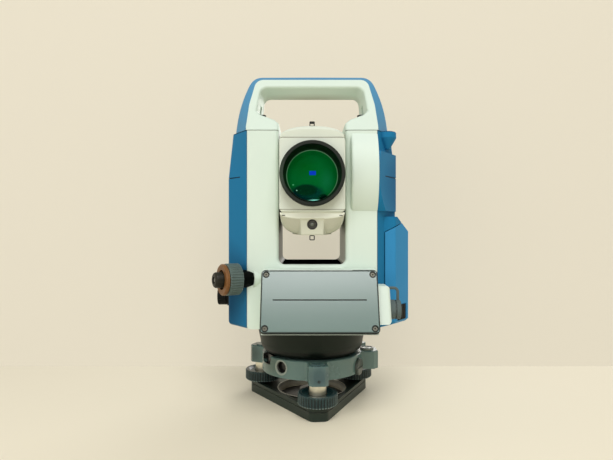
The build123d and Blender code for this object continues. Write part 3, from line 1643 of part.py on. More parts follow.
# Bearings of the horizontal axis
with BuildPart() as trunnion_bearings:
    for axle_side in (-1, 1):
        with BuildSketch(Plane.YZ.offset(axle_side * bearing_inner)):
            with Locations((0, trunnion_height)):
                Circle(bearing_radius)
                Circle(axle_radius + run_fit, mode=Mode.SUBTRACT)
        extrude(amount=axle_side * (bearing_outer - bearing_inner))

# Graduated circle for vertical angles
with BuildPart() as vertical_circle:
    with BuildSketch(Plane.YZ.offset(vertical_circle_x)):
        with Locations((0, trunnion_height)):
            Circle(vertical_circle_radius)
            Circle(axle_radius + seat_fit, mode=Mode.SUBTRACT)
    extrude(amount=vertical_circle_thickness)

scope_axis = Axis((0, 0, trunnion_height), (0, 1, 0))
scope_plane = Plane(origin=(0, 0, trunnion_height), x_dir=(1, 0, 0), z_dir=(0, -1, 0))

# Body of the telescope with the barrel for the focus ring and the eyepiece
with BuildPart() as telescope_body:
    with BuildSketch(scope_plane.offset(-scope_rear)):
        RectangleRounded(2 * scope_half_width, 2 * scope_half_height, scope_edge_radius)
    extrude(amount=scope_front + scope_rear)
    chamfer(telescope_body.faces().sort_by(Axis.Y)[0].edges(), 1.2)
    fillet(telescope_body.faces().sort_by(Axis.Y)[-1].edges(), 3)
    with BuildSketch(scope_plane.offset(scope_front)):
        Circle(scope_bore)
    extrude(amount=-scope_front - scope_rear + 5, mode=Mode.SUBTRACT)
    with BuildSketch(scope_plane.offset(scope_front)):
        Circle(ring_barrel + seat_fit)
    extrude(amount=ring_barrel_rear - scope_front, mode=Mode.SUBTRACT)
    with BuildSketch(Plane.YZ.offset(-scope_half_width - 1)):
        with Locations((0, trunnion_height)):
            Circle(axle_radius + seat_fit)
    extrude(amount=2 * scope_half_width + 2, mode=Mode.SUBTRACT)
    with BuildSketch(scope_plane.offset(-scope_rear + 5)):
        Circle(barrel_radius)
    extrude(amount=-barrel_end + scope_rear - 5)
    with BuildSketch(scope_plane.offset(-barrel_end)):
        Circle(barrel_tip_radius)
    extrude(amount=barrel_end - barrel_tip_end)
    with BuildSketch(scope_plane.offset(-scope_rear + 6)):
        Circle(barrel_bore)
    extrude(amount=-barrel_tip_end, mode=Mode.SUBTRACT)

# Arched cap on top of the telescope
with BuildPart() as telescope_top_cap:
    with BuildSketch(scope_plane.offset(-top_cap_rear)):
        with BuildLine():
            Polyline(
                (top_cap_half_width, top_cap_side),
                (scope_half_width - 1, scope_half_height + seam),
                (-scope_half_width + 1, scope_half_height + seam),
                (-top_cap_half_width, top_cap_side),
            )
            ThreePointArc(
                (-top_cap_half_width, top_cap_side),
                (0, top_cap_crown),
                (top_cap_half_width, top_cap_side),
            )
        make_face()
    extrude(amount=cap_front + top_cap_rear)
    with BuildSketch(Plane.YZ.offset(-100)):
        Polygon(
            (-cap_front - 1, trunnion_height + scope_half_height + 2),
            (-cap_front, trunnion_height + scope_half_height + 2),
            (-cap_front + top_cap_slope, trunnion_height + top_cap_crown + 1),
            (-cap_front - 1, trunnion_height + top_cap_crown + 1),
        )
    extrude(amount=200, mode=Mode.SUBTRACT)

# Cap under the telescope with its nose and the window of the guide light
with BuildPart() as telescope_bottom_cap:
    with BuildSketch(scope_plane.offset(-top_cap_rear)):
        Polygon(
            (scope_half_width - 0.6, -scope_half_height - seam),
            (scope_half_width - 1, -bottom_cap_step),
            (bottom_cap_side_half, -bottom_cap_side),
            (bottom_cap_low_half, -bottom_cap_low),
            (-bottom_cap_low_half, -bottom_cap_low),
            (-bottom_cap_side_half, -bottom_cap_side),
            (-scope_half_width + 1, -bottom_cap_step),
            (-scope_half_width + 0.6, -scope_half_height - seam),
        )
    extrude(amount=cap_front + top_cap_rear)
    with BuildSketch(Plane.YZ.offset(-100)):
        Polygon(
            (-cap_front, trunnion_height - bottom_cap_step),
            (-cap_front + 9, trunnion_height - bottom_cap_low - 1),
            (-cap_front - 9, trunnion_height - bottom_cap_low - 1),
            (-cap_front - 9, trunnion_height - bottom_cap_step),
        )
    extrude(amount=200, mode=Mode.SUBTRACT)
    with BuildSketch(scope_plane.offset(nose_rear)):
        Polygon(
            (nose_half_width, -bottom_cap_step),
            (nose_low_half_width, -nose_bottom),
            (-nose_low_half_width, -nose_bottom),
            (-nose_half_width, -bottom_cap_step),
        )
    extrude(amount=nose_front - nose_rear)
    with BuildSketch(Plane.YZ.offset(-100)):
        Polygon(
            (-nose_front - 1, trunnion_height - nose_bottom - 1),
            (-nose_front - 1, trunnion_height - nose_bottom + 4),
            (-nose_front + 5, trunnion_height - nose_bottom - 1),
        )
    extrude(amount=200, mode=Mode.SUBTRACT)
    with BuildSketch(scope_plane.offset(nose_front + 1)):
        with Locations((0, window_height)):
            Circle(window_radius)
    extrude(amount=-window_depth - 1, mode=Mode.SUBTRACT)
    with BuildSketch(scope_plane.offset(cap_front - 1)):
        with Locations((-scope_half_width + 3.5, wing_slot_z), (scope_half_width - 3.5, wing_slot_z)):
            Rectangle(wing_slot_length, wing_slot_height)
    extrude(amount=3, mode=Mode.SUBTRACT)

# Lens of the guide light in the nose
with BuildPart() as guide_light_lens:
    with BuildSketch(scope_plane.offset(nose_front - window_depth)):
        with Locations((0, window_height)):
            Circle(window_radius - seat_fit)
    extrude(amount=2)

# Ring in front of the objective, with the barrel that holds the lens
with BuildPart() as objective_ring:
    with BuildSketch(Plane(origin=(0, 0, trunnion_height), x_dir=(1, 0, 0), z_dir=(0, 0, 1))):
        with BuildLine():
            Polyline(
                (ring_throat, -lens_front - lens_bulge - 0.6),
                (ring_inner, -ring_front),
                (ring_radius - 1, -ring_front),
                (ring_radius, -ring_front + 1),
                (ring_radius, -scope_front - seam),
                (ring_barrel, -scope_front - seam),
                (ring_barrel, -ring_barrel_rear - seam),
                (lens_radius + seat_fit, -ring_barrel_rear - seam),
                (lens_radius + seat_fit, -lens_front),
                (ring_throat, -lens_front),
                close=True,
            )
        make_face()
    revolve(axis=scope_axis)

# Objective lens
with BuildPart() as objective_lens:
    with BuildSketch(Plane(origin=(0, 0, trunnion_height), x_dir=(1, 0, 0), z_dir=(0, 0, 1))):
        with BuildLine():
            Polyline(
                (ring_throat - 0.2, -lens_front),
                (lens_radius, -lens_front),
                (lens_radius, -lens_front + lens_edge),
                (0, -lens_front + lens_edge),
                (0, -lens_front - lens_bulge),
            )
            ThreePointArc(
                (0, -lens_front - lens_bulge),
                ((ring_throat - 0.2) * 0.5, -lens_front - lens_bulge * 0.755),
                (ring_throat - 0.2, -lens_front),
            )
        make_face()
    revolve(axis=scope_axis)

# Peep sights above and below the telescope
with BuildPart() as peep_sights:
    with BuildSketch(scope_plane.offset(sight_front - sight_length)):
        with Locations((0, top_cap_crown + seam + sight_height / 2)):
            RectangleRounded(sight_width, sight_height, 1)
            Rectangle(sight_bore, sight_bore, mode=Mode.SUBTRACT)
        with Locations((0, -nose_bottom - seam - sight_height / 2)):
            RectangleRounded(sight_width, sight_height, 1)
            Rectangle(sight_bore, sight_bore, mode=Mode.SUBTRACT)
    extrude(amount=sight_length)

# Focus ring on the barrel
with BuildPart() as focus_ring:
    with BuildSketch(scope_plane.offset(-focus_ring_front)):
        Circle(focus_ring_radius)
    extrude(amount=-focus_ring_length)
    chamfer(focus_ring.edges(), 1)
    with BuildSketch(scope_plane.offset(-focus_ring_front)):
        Circle(barrel_radius + run_fit)
        with PolarLocations(focus_ring_radius + focus_flute_radius / 3, focus_flutes):
            Circle(focus_flute_radius)
    extrude(amount=-focus_ring_length, mode=Mode.SUBTRACT)

# Eyepiece on the tip of the barrel
with BuildPart() as telescope_eyepiece:
    with BuildSketch(scope_plane.offset(-barrel_end - loose_fit)):
        Circle(eyepiece_radius)
    extrude(amount=barrel_end + loose_fit - eyepiece_end)
    chamfer(telescope_eyepiece.edges(), 1)
    with BuildSketch(scope_plane.offset(-barrel_end)):
        with PolarLocations(eyepiece_radius + eyepiece_flute_radius / 3, eyepiece_flutes):
            Circle(eyepiece_flute_radius)
    extrude(amount=-8, mode=Mode.SUBTRACT)
    with BuildSketch(scope_plane.offset(-barrel_end)):
        Circle(barrel_tip_radius + run_fit)
    extrude(amount=barrel_end - barrel_tip_end - loose_fit, mode=Mode.SUBTRACT)
    with BuildSketch(scope_plane.offset(-eyepiece_end + 4)):
        Circle(eyepiece_cup)
    extrude(amount=-6, mode=Mode.SUBTRACT)
    with BuildSketch(scope_plane.offset(-barrel_end)):
        Circle(barrel_bore)
    extrude(amount=-30, mode=Mode.SUBTRACT)


def clamp_shape(plane):
    """Clamp disc with its finger tab, on a sleeve that goes into the body."""
    with BuildPart() as clamp:
        with BuildSketch(plane.offset(clamp_disc_gap)) as clamp_outline:
            Circle(clamp_disc_radius)
            with Locations((0, -clamp_tab_reach / 2)):
                Rectangle(clamp_tab_width, clamp_tab_reach)
            fillet(clamp_outline.vertices().group_by(Axis.Y)[0], 2)
        extrude(amount=clamp_disc_length)
        with BuildSketch(plane.offset(-motion_sleeve_depth)):
            Circle(motion_sleeve_radius)
        extrude(amount=motion_sleeve_depth + clamp_disc_gap)
        with BuildSketch(plane.offset(-motion_sleeve_depth)):
            Circle(motion_shaft_radius + run_fit)
        extrude(amount=60, mode=Mode.SUBTRACT)
    return clamp.part


def tangent_shape(plane, shaft_end):
    """Fluted fine-motion knob on a shaft that runs in the yoke."""
    knob_start = clamp_disc_gap + clamp_disc_length + loose_fit
    with BuildPart() as knob:
        with BuildSketch(plane.offset(knob_start)):
            Circle(tangent_knob_radius)
        extrude(amount=tangent_knob_length)
        chamfer(knob.edges(), 0.8)
        with BuildSketch(plane.offset(knob_start)):
            with PolarLocations(tangent_knob_radius + tangent_flute_radius / 3, tangent_flutes):
                Circle(tangent_flute_radius)
        extrude(amount=tangent_knob_length, mode=Mode.SUBTRACT)
        with BuildSketch(plane.offset(-shaft_end)):
            Circle(motion_shaft_radius)
        extrude(amount=shaft_end + knob_start)
    return knob.part


# Clamps and fine-motion knobs of both axes
with BuildPart() as vertical_clamp:
    add(clamp_shape(vertical_motion_plane))
with BuildPart() as vertical_tangent_knob:
    shaft_end = body_half_depth - upright_half_depth + motion_shaft_depth - 1
    add(tangent_shape(vertical_motion_plane, shaft_end))
with BuildPart() as horizontal_clamp:
    add(clamp_shape(horizontal_motion_plane))
with BuildPart() as horizontal_tangent_knob:
    shaft_end = body_half_width - yoke_base_half_width + motion_shaft_depth - 1
    add(tangent_shape(horizontal_motion_plane, shaft_end))

pieces = {
    "tribrach_base_plate": tribrach_base_plate,
    "base_spring_plate": base_spring_plate,
    "foot_screw_front": foot_screw_front,
    "foot_screw_right": foot_screw_right,
    "foot_screw_left": foot_screw_left,
    "tribrach_body": tribrach_body,
    "foot_screw_bushes": foot_screw_bushes,
    "circular_level": circular_level,
    "clamp_knob": clamp_knob,
    "clamp_ring": clamp_ring,
    "lower_base": lower_base,
    "axis_sleeve": axis_sleeve,
    "horizontal_circle": horizontal_circle,
    "vertical_spindle": vertical_spindle,
    "front_cover": front_cover,
    "rear_cover": rear_cover,
    "left_cover": left_cover,
    "right_cover": right_cover,
    "saddle_plate": saddle_plate,
    "battery_door": battery_door,
    "battery_latch": battery_latch,
    "battery_pack": battery_pack,
    "blank_plate": blank_plate,
    "panel_screws": panel_screws,
    "keyboard_plate": keyboard_plate,
    "display_window": display_window,
    "soft_key_1": soft_key_1,
    "soft_key_2": soft_key_2,
    "soft_key_3": soft_key_3,
    "soft_key_4": soft_key_4,
    "power_key": power_key,
    "cursor_pad": cursor_pad,
    "enter_key": enter_key,
    "data_connector": data_connector,
    "connector_cap": connector_cap,
    "cap_tether": cap_tether,
    "plummet_tube": plummet_tube,
    "plummet_focus_ring": plummet_focus_ring,
    "plummet_trim_ring": plummet_trim_ring,
    "plummet_eyepiece": plummet_eyepiece,
    "handle_grip": handle_grip,
    "handle_band": handle_band,
    "handle_screws": handle_screws,
    "yoke_frame": yoke_frame,
    "trunnion_axles": trunnion_axles,
    "trunnion_bearings": trunnion_bearings,
    "vertical_circle": vertical_circle,
    "telescope_body": telescope_body,
    "telescope_top_cap": telescope_top_cap,
    "telescope_bottom_cap": telescope_bottom_cap,
    "guide_light_lens": guide_light_lens,
    "objective_ring": objective_ring,
    "objective_lens": objective_lens,
    "peep_sights": peep_sights,
    "focus_ring": focus_ring,
    "telescope_eyepiece": telescope_eyepiece,
    "vertical_clamp": vertical_clamp,
    "vertical_tangent_knob": vertical_tangent_knob,
    "horizontal_clamp": horizontal_clamp,
    "horizontal_tangent_knob": horizontal_tangent_knob,
}
for label, piece in pieces.items():
    piece.part.label = label
    export_step(piece.part, f"parts/{label}.step")
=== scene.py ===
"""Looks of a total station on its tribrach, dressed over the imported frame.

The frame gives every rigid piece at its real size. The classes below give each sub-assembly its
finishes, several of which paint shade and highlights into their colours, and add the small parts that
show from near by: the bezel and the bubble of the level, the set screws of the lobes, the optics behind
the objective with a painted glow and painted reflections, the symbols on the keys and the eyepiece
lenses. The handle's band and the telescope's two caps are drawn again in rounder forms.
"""

import logging
import math
from dataclasses import dataclass, replace
from enum import Enum
from functools import cache
from typing import Any, Callable, Iterable, Sequence, Union

import bmesh
import bpy
from mathutils import Matrix, Vector


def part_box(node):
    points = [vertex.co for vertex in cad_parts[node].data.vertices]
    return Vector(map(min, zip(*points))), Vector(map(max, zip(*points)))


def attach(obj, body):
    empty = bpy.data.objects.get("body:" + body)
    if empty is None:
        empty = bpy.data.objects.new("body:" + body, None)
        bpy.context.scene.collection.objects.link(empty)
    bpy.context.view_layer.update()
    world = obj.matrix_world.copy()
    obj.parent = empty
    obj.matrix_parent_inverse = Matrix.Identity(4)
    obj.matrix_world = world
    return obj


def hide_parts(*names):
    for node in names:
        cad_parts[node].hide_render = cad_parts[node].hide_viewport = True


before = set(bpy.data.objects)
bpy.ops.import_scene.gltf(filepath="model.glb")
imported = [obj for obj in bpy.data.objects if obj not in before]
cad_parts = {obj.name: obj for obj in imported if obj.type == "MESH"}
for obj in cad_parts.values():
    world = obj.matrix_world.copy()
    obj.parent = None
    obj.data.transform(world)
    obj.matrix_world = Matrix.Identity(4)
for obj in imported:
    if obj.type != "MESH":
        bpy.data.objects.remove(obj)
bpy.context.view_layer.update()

IMAGE_WIDTH = 613
# Sizes and places are in millimetres of the row frame, unless a docstring says metres.
MM = 0.001
WIDE = 500.0
AXIS_HEIGHT = 232.5
# Both panels slope: their faces look outward and upward in these shares.
PANEL_OUT = 0.93356
PANEL_RISE = 0.35842
# A face is an end from this share of its axis on, and an edge is sharp from this angle on, in radians.
END_FACE = 0.9
SHARP_EDGE = 1.0
LOG = logging.getLogger("total_station")

Colour = tuple[float, float, float]
Triple = tuple[float, float, float]
FaceTest = Callable[[Vector], bool]


def srgb(red: int, green: int, blue: int) -> Colour:
    """Turn a colour as it looks on a screen into linear light.

    Args:
        red: Red from 0 to 255.
        green: Green from 0 to 255.
        blue: Blue from 0 to 255.

    Returns:
        The colour as three linear values from 0 to 1.
    """
    shares = (red / 255, green / 255, blue / 255)
    return tuple(s / 12.92 if s <= 0.04045 else ((s + 0.055) / 1.055) ** 2.4 for s in shares)


def dimmed(colour: Colour, share: float) -> Colour:
    """Keep a share of a colour's light.

    Args:
        colour: The colour.
        share: Share of its light from 0 to 1.

    Returns:
        The darker colour.
    """
    return tuple(c * share for c in colour)


class Signal:
    """A value socket that can stand in a Python expression."""

    def __init__(self, sheet: "NodeSheet", socket: bpy.types.NodeSocket) -> None:
        """Keep the sheet and the socket."""
        self.sheet = sheet
        self.socket = socket

    def _math(self, operation: str, first: "Feed", second: "Feed") -> "Signal":
        """Add one Math node and give its result."""
        made = self.sheet.node("ShaderNodeMath", {"operation": operation}, {0: first, 1: second})
        return Signal(self.sheet, made.outputs[0])

    def __add__(self, other: "Feed") -> "Signal":
        """Sum of both."""
        return self._math("ADD", self, other)

    def __radd__(self, other: "Feed") -> "Signal":
        """Sum of both."""
        return self._math("ADD", other, self)

    def __sub__(self, other: "Feed") -> "Signal":
        """Difference of both."""
        return self._math("SUBTRACT", self, other)

    def __rsub__(self, other: "Feed") -> "Signal":
        """Difference of both."""
        return self._math("SUBTRACT", other, self)

    def __mul__(self, other: "Feed") -> "Signal":
        """Product of both."""
        return self._math("MULTIPLY", self, other)

    def __rmul__(self, other: "Feed") -> "Signal":
        """Product of both."""
        return self._math("MULTIPLY", other, self)

    def __truediv__(self, other: "Feed") -> "Signal":
        """Quotient of both."""
        return self._math("DIVIDE", self, other)

    def __rtruediv__(self, other: "Feed") -> "Signal":
        """Quotient of both."""
        return self._math("DIVIDE", other, self)

    def __gt__(self, other: "Feed") -> "Signal":
        """1 where this is larger, else 0."""
        return self._math("GREATER_THAN", self, other)

    def __lt__(self, other: "Feed") -> "Signal":
        """1 where this is smaller, else 0."""
        return self._math("LESS_THAN", self, other)

    def __abs__(self) -> "Signal":
        """Size without sign."""
        return self._math("ABSOLUTE", self, 0.0)

    def most(self, other: "Feed") -> "Signal":
        """Larger of both."""
        return self._math("MAXIMUM", self, other)

    def least(self, other: "Feed") -> "Signal":
        """Smaller of both."""
        return self._math("MINIMUM", self, other)

    def held(self) -> "Signal":
        """This, held between 0 and 1."""
        return self.most(0.0).least(1.0)

    def turn(self, other: "Feed") -> "Signal":
        """Angle of a point with this as its rise and the other as its run."""
        return self._math("ARCTAN2", self, other)

    def cosine(self) -> "Signal":
        """Cosine of this angle."""
        return self._math("COSINE", self, 0.0)


Feed = Union[Signal, bpy.types.NodeSocket, float, Sequence[float]]


class NodeSheet:
    """Node tree of one finish, or of the room's light, while it is written."""

    def __init__(self, name: str, room: bool = False) -> None:
        """Make an empty material or world.

        Args:
            name: Name of the material or world.
            room: True for a world.
        """
        self.owner = (bpy.data.worlds if room else bpy.data.materials).new(name)
        self.owner.use_nodes = True
        self.tree = self.owner.node_tree
        self.tree.nodes.clear()
        self._spot: bpy.types.Node | None = None
        self._split: bpy.types.Node | None = None

    def feed(self, socket: bpy.types.NodeSocket, value: Feed) -> None:
        """Link or set one input.

        Args:
            socket: Input to fill.
            value: A signal, a socket, a number or a list of numbers.
        """
        if isinstance(value, Signal):
            self.tree.links.new(value.socket, socket)
        elif isinstance(value, bpy.types.NodeSocket):
            self.tree.links.new(value, socket)
        elif isinstance(value, (int, float)):
            socket.default_value = value
        elif socket.type == "RGBA" and len(value) == 3:
            socket.default_value = (*value, 1.0)
        else:
            socket.default_value = tuple(value)

    def node(
        self,
        kind: str,
        settings: dict[str, Any] | None = None,
        sockets: dict[Union[str, int], Feed] | None = None,
    ) -> bpy.types.Node:
        """Add any node.

        Args:
            kind: Type name of the node.
            settings: Properties, which are set first.
            sockets: Values or links of the inputs, by name or number.

        Returns:
            The new node.
        """
        made = self.tree.nodes.new(kind)
        for key, value in (settings or {}).items():
            setattr(made, key, value)
        for key, value in (sockets or {}).items():
            self.feed(made.inputs[key], value)
        return made

    def vector(self, operation: str, first: Feed, second: Feed = (0, 0, 0)) -> bpy.types.Node:
        """Add one Vector Math node and give it back."""
        return self.node("ShaderNodeVectorMath", {"operation": operation}, {0: first, 1: second})

    def spot(self) -> bpy.types.NodeSocket:
        """Place on the object, in metres."""
        if self._spot is None:
            self._spot = self.node("ShaderNodeTexCoord")
        return self._spot.outputs["Object"]

    def facing(self, direction: Sequence[float]) -> Signal:
        """How far a surface faces a direction of its own object.

        Args:
            direction: Direction as a unit vector.

        Returns:
            1 where it faces that way, 0 where it lies along it.
        """
        self.spot()
        made = self.vector("DOT_PRODUCT", self._spot.outputs["Normal"], direction)
        return Signal(self, made.outputs["Value"])

    def axes(self) -> tuple[Signal, Signal, Signal]:
        """The place as its three coordinates, in metres."""
        if self._split is None:
            self._split = self.node("ShaderNodeSeparateXYZ", None, {0: self.spot()})
        return tuple(Signal(self, self._split.outputs[i]) for i in range(3))

    def slope(self, centre: Sequence[float], up: Sequence[float]) -> tuple[Signal, Signal]:
        """Place on a face that slopes about the X axis.

        Args:
            centre: Middle of the face, in millimetres.
            up: Direction up the slope.

        Returns:
            Distances from the middle across and up the slope, in metres.
        """
        x, y, z = self.axes()
        rise = (y - centre[1] * MM) * up[1] + (z - centre[2] * MM) * up[2]
        return x - centre[0] * MM, rise

    def reach(self, centre: Sequence[float], scale: Sequence[float] = (1, 1, 1)) -> Signal:
        """Distance from a point, with each axis scaled first.

        Args:
            centre: Point in metres.
            scale: Factor for each axis; 0 leaves an axis out.

        Returns:
            The distance in metres.
        """
        away = self.vector("SUBTRACT", self.spot(), centre)
        sized = self.vector("MULTIPLY", away.outputs[0], scale)
        return Signal(self, self.vector("LENGTH", sized.outputs[0]).outputs["Value"])

    def clouds(self, scale: float, detail: float = 3.0, stretch: Sequence[float] = (1, 1, 1)) -> Signal:
        """Soft noise.

        Args:
            scale: Patches per metre.
            detail: How fine the noise goes.
            stretch: Factor for each axis.

        Returns:
            Noise around 0.5.
        """
        laid = self.node("ShaderNodeMapping", None, {"Vector": self.spot(), "Scale": stretch})
        made = self.node(
            "ShaderNodeTexNoise",
            {"noise_dimensions": "3D"},
            {"Vector": laid.outputs[0], "Scale": scale, "Detail": detail, "Roughness": 0.55},
        )
        return Signal(self, made.outputs[0])

    def cells(self, scale: float) -> Signal:
        """Distance to the nearest of many scattered points, with so many cells to a metre."""
        made = self.node("ShaderNodeTexVoronoi", None, {"Vector": self.spot(), "Scale": scale})
        return Signal(self, made.outputs["Distance"])

    def edges(self, radius: float) -> Signal:
        """Find outer and inner edges.

        Args:
            radius: Width of the edge, in metres.

        Returns:
            0 on flat faces, rising to 1 on sharp edges.
        """
        soft = self.node("ShaderNodeBevel", {"samples": 4}, {"Radius": radius})
        true = self.node("ShaderNodeNewGeometry")
        same = self.vector("DOT_PRODUCT", soft.outputs[0], true.outputs["Normal"])
        return ((1.0 - Signal(self, same.outputs["Value"])) * 3.0).held()

    def hollows(self, distance: float) -> Signal:
        """Find corners and recesses where dust stays.

        Args:
            distance: How near the walls are, in metres.

        Returns:
            0 in the open, rising to 1 in a deep corner.
        """
        settings = {"samples": 6, "only_local": True}
        made = self.node("ShaderNodeAmbientOcclusion", settings, {"Distance": distance})
        return (1.0 - Signal(self, made.outputs["AO"])).held()

    def blend(self, factor: Feed, first: Feed, second: Feed) -> bpy.types.NodeSocket:
        """Mix two colours: a factor of 0 gives the first, 1 the second."""
        made = self.node("ShaderNodeMix", {"data_type": "RGBA"}, {0: factor, 6: first, 7: second})
        return made.outputs[2]

    def bump(self, height: Signal, strength: float, distance: float) -> bpy.types.NodeSocket:
        """Turn a height into a normal, where a height of 1 is a distance in metres."""
        sockets = {"Height": height, "Strength": strength, "Distance": distance}
        return self.node("ShaderNodeBump", None, sockets).outputs[0]

    def shader(self, kind: str, **sockets: Feed) -> bpy.types.NodeSocket:
        """Add one shader, with _ for a space in the names of its inputs."""
        named = {name.replace("_", " "): value for name, value in sockets.items()}
        return self.node(f"ShaderNode{kind}", None, named).outputs[0]

    def mixed(self, factor: Feed, first: Feed, second: Feed) -> bpy.types.NodeSocket:
        """Mix two shaders: a factor of 0 gives the first, 1 the second."""
        return self.node("ShaderNodeMixShader", None, {0: factor, 1: first, 2: second}).outputs[0]

    def surface(self, **sockets: Feed) -> bpy.types.Material:
        """Close the tree with one surface shader, with _ for a space in the names of its inputs."""
        return self.close(self.shader("BsdfPrincipled", **sockets))

    def close(self, shader: bpy.types.NodeSocket) -> bpy.types.Material | bpy.types.World:
        """Link a shader to the output.

        Args:
            shader: The shader's socket.

        Returns:
            The finished material or world.
        """
        kind = "World" if isinstance(self.owner, bpy.types.World) else "Material"
        self.node(f"ShaderNodeOutput{kind}", None, {"Surface": shader})
        return self.owner


class Gloss(Enum):
    """How a moulded or painted surface shines, as its roughness."""

    MATT = 0.62
    SATIN = 0.42
    SEMI = 0.3


class Mark:
    """A place on a finish with a tone of its own."""

    colour: Colour
    cover: float

    def share(self, sheet: NodeSheet) -> Signal:
        """Find the places that it covers, as 1 inside and 0 outside."""
        raise NotImplementedError

    @staticmethod
    def lay(sheet: NodeSheet, tone: Feed, marks: Iterable["Mark"]) -> tuple[Feed, Signal | float]:
        """Lay marks over a tone, one on the other.

        Args:
            sheet: Sheet of the finish.
            tone: Tone below them.
            marks: The marks, from the lowest to the highest.

        Returns:
            The new tone, and the share of it that the marks hide.
        """
        hidden: Signal | float = 0.0
        for mark in marks:
            cover = mark.share(sheet) * mark.cover
            tone = sheet.blend(cover, tone, mark.colour)
            hidden = cover.most(hidden)
        return tone, hidden


@dataclass(frozen=True)
class Groove(Mark):
    """A box in the row frame in millimetres with a tone of its own: it draws dark grooves and seams, and
    also painted shade and painted highlights.
    """

    low: Triple
    high: Triple
    colour: Colour = srgb(28, 32, 34)
    cover: float = 0.93

    @classmethod
    def girdle(cls, low: float, high: float, colour: Colour, cover: float) -> "Groove":
        """Make a level band that goes all round a piece between two heights."""
        return cls((-WIDE, -WIDE, low), (WIDE, WIDE, high), colour, cover)

    def share(self, sheet: NodeSheet) -> Signal:
        """Find the places inside the box.

        Args:
            sheet: Sheet of the finish.

        Returns:
            1 inside, 0 outside.
        """
        inside: Signal | None = None
        for axis, low, high in zip(sheet.axes(), self.low, self.high):
            share = (axis > low * MM) * (axis < high * MM)
            inside = share if inside is None else inside * share
        return inside


@dataclass(frozen=True)
class Patch(Mark):
    """A soft round patch, as an egg-shaped space in the row frame in millimetres."""

    centre: Triple
    half: Triple
    colour: Colour
    soft: float = 0.12
    cover: float = 1.0

    def share(self, sheet: NodeSheet) -> Signal:
        """Find the places inside the egg.

        Args:
            sheet: Sheet of the finish.

        Returns:
            1 well inside, falling to 0 at its border.
        """
        middle = tuple(c * MM for c in self.centre)
        out = sheet.reach(middle, tuple(1 / (h * MM) for h in self.half))
        return ((1.0 - out) / self.soft).held()


@dataclass(frozen=True)
class Stripe(Mark):
    """A straight line across a sloping face."""

    centre: Triple
    up: Triple
    half_high: float
    half_wide: float
    colour: Colour = srgb(16, 20, 20)
    cover: float = 0.95

    def share(self, sheet: NodeSheet) -> Signal:
        """Find the places on the line."""
        across, rise = sheet.slope(self.centre, self.up)
        return (abs(rise) < self.half_high * MM) * (abs(across) < self.half_wide * MM)


@dataclass(frozen=True)
class ShadedRim(Mark):
    """Painted shade along the border of a sloping face, where its rounded edge turns from the light."""

    centre: Triple
    up: Triple
    half_high: float
    half_wide: float
    colour: Colour
    cover: float = 0.9

    def share(self, sheet: NodeSheet) -> Signal:
        """Find the places outside the middle of the face."""
        across, rise = sheet.slope(self.centre, self.up)
        return (abs(rise) > self.half_high * MM).most(abs(across) > self.half_wide * MM)


@dataclass(frozen=True)
class Flutes(Mark):
    """Painted shade in the flutes round an upright knob."""

    centre: Triple
    count: int
    first: float
    low: float
    high: float
    colour: Colour
    cover: float = 0.9

    def share(self, sheet: NodeSheet) -> Signal:
        """Find the places in the flutes.

        Args:
            sheet: Sheet of the finish.

        Returns:
            1 in a flute, falling to 0 on a rib.
        """
        x, y, z = sheet.axes()
        angle = (y - self.centre[1] * MM).turn(x - self.centre[0] * MM) - math.radians(self.first)
        wave = (angle * self.count).cosine() * 1.4
        return wave.held() * (z > self.low * MM) * (z < self.high * MM)


class Finish:
    """A finish that pieces are dressed in."""

    name: str

    def material(self) -> bpy.types.Material:
        """Write the node tree of the finish."""
        raise NotImplementedError


@cache
def material_of(finish: Finish) -> bpy.types.Material:
    """Write a finish's material when it is first needed, and keep it for the next piece."""
    return finish.material()


@dataclass(frozen=True)
class Moulded(Finish):
    """Moulded or sprayed cover with a fine grain, dust in its corners and lighter edges: rubbed wear, and
    on the knobs, rings and eyepiece also a painted highlight. It can also paint shade on faces that turn
    away from a given direction.
    """

    name: str
    colour: Colour
    gloss: Gloss = Gloss.SATIN
    grain: float = 0.05
    grain_scale: float = 1500.0
    dust: Colour = srgb(120, 116, 98)
    dust_share: float = 0.25
    edge_wear_and_highlight: float = 0.18
    edge_wear_and_highlight_colour: Colour | None = None
    shine: float = 0.5
    marks: tuple[Mark, ...] = ()
    painted_side_shade: Colour | None = None
    unshaded_facing: Triple = (0, 0, 1)
    lacquer: float = 0.0

    def material(self) -> bpy.types.Material:
        """Write the node tree.

        Returns:
            The finished material.
        """
        sheet = NodeSheet(self.name)
        patches = sheet.clouds(14.0, 4.0)
        fine = sheet.clouds(self.grain_scale, 2.0)
        edge_wear_and_highlight_colour = self.edge_wear_and_highlight_colour or tuple(min(1.0, c * 1.12 + 0.02) for c in self.colour)
        aged = dimmed(self.colour, 0.9)
        tone = sheet.blend(patches * 0.5, self.colour, aged)
        # Lighter edges: rubbed wear, and where the share is strong a painted highlight on the edges.
        edge = sheet.edges(0.0009) * (sheet.clouds(160.0) * 1.6 - 0.3).held()
        tone = sheet.blend(edge * self.edge_wear_and_highlight, tone, edge_wear_and_highlight_colour)
        dirt = sheet.hollows(0.005) * (0.4 + patches * 0.9)
        tone = sheet.blend((dirt * self.dust_share).held(), tone, self.dust)
        tone, hidden = Mark.lay(sheet, tone, self.marks)
        # Painted shade on faces that turn away from the unshaded direction.
        if self.painted_side_shade is not None:
            side = sheet.facing(self.unshaded_facing) < 0.8
            tone = sheet.blend(side, tone, self.painted_side_shade)
            hidden = side.most(hidden)
        return sheet.surface(
            Base_Color=tone,
            Roughness=self.gloss.value + patches * 0.1 - 0.05 + dirt * 0.15,
            Normal=sheet.bump(fine, self.grain, 0.0004),
            Specular_IOR_Level=self.shine,
            Coat_Weight=(1.0 - hidden) * self.lacquer if self.lacquer else 0.0,
            Coat_Roughness=0.2,
            Coat_IOR=1.8,
        )


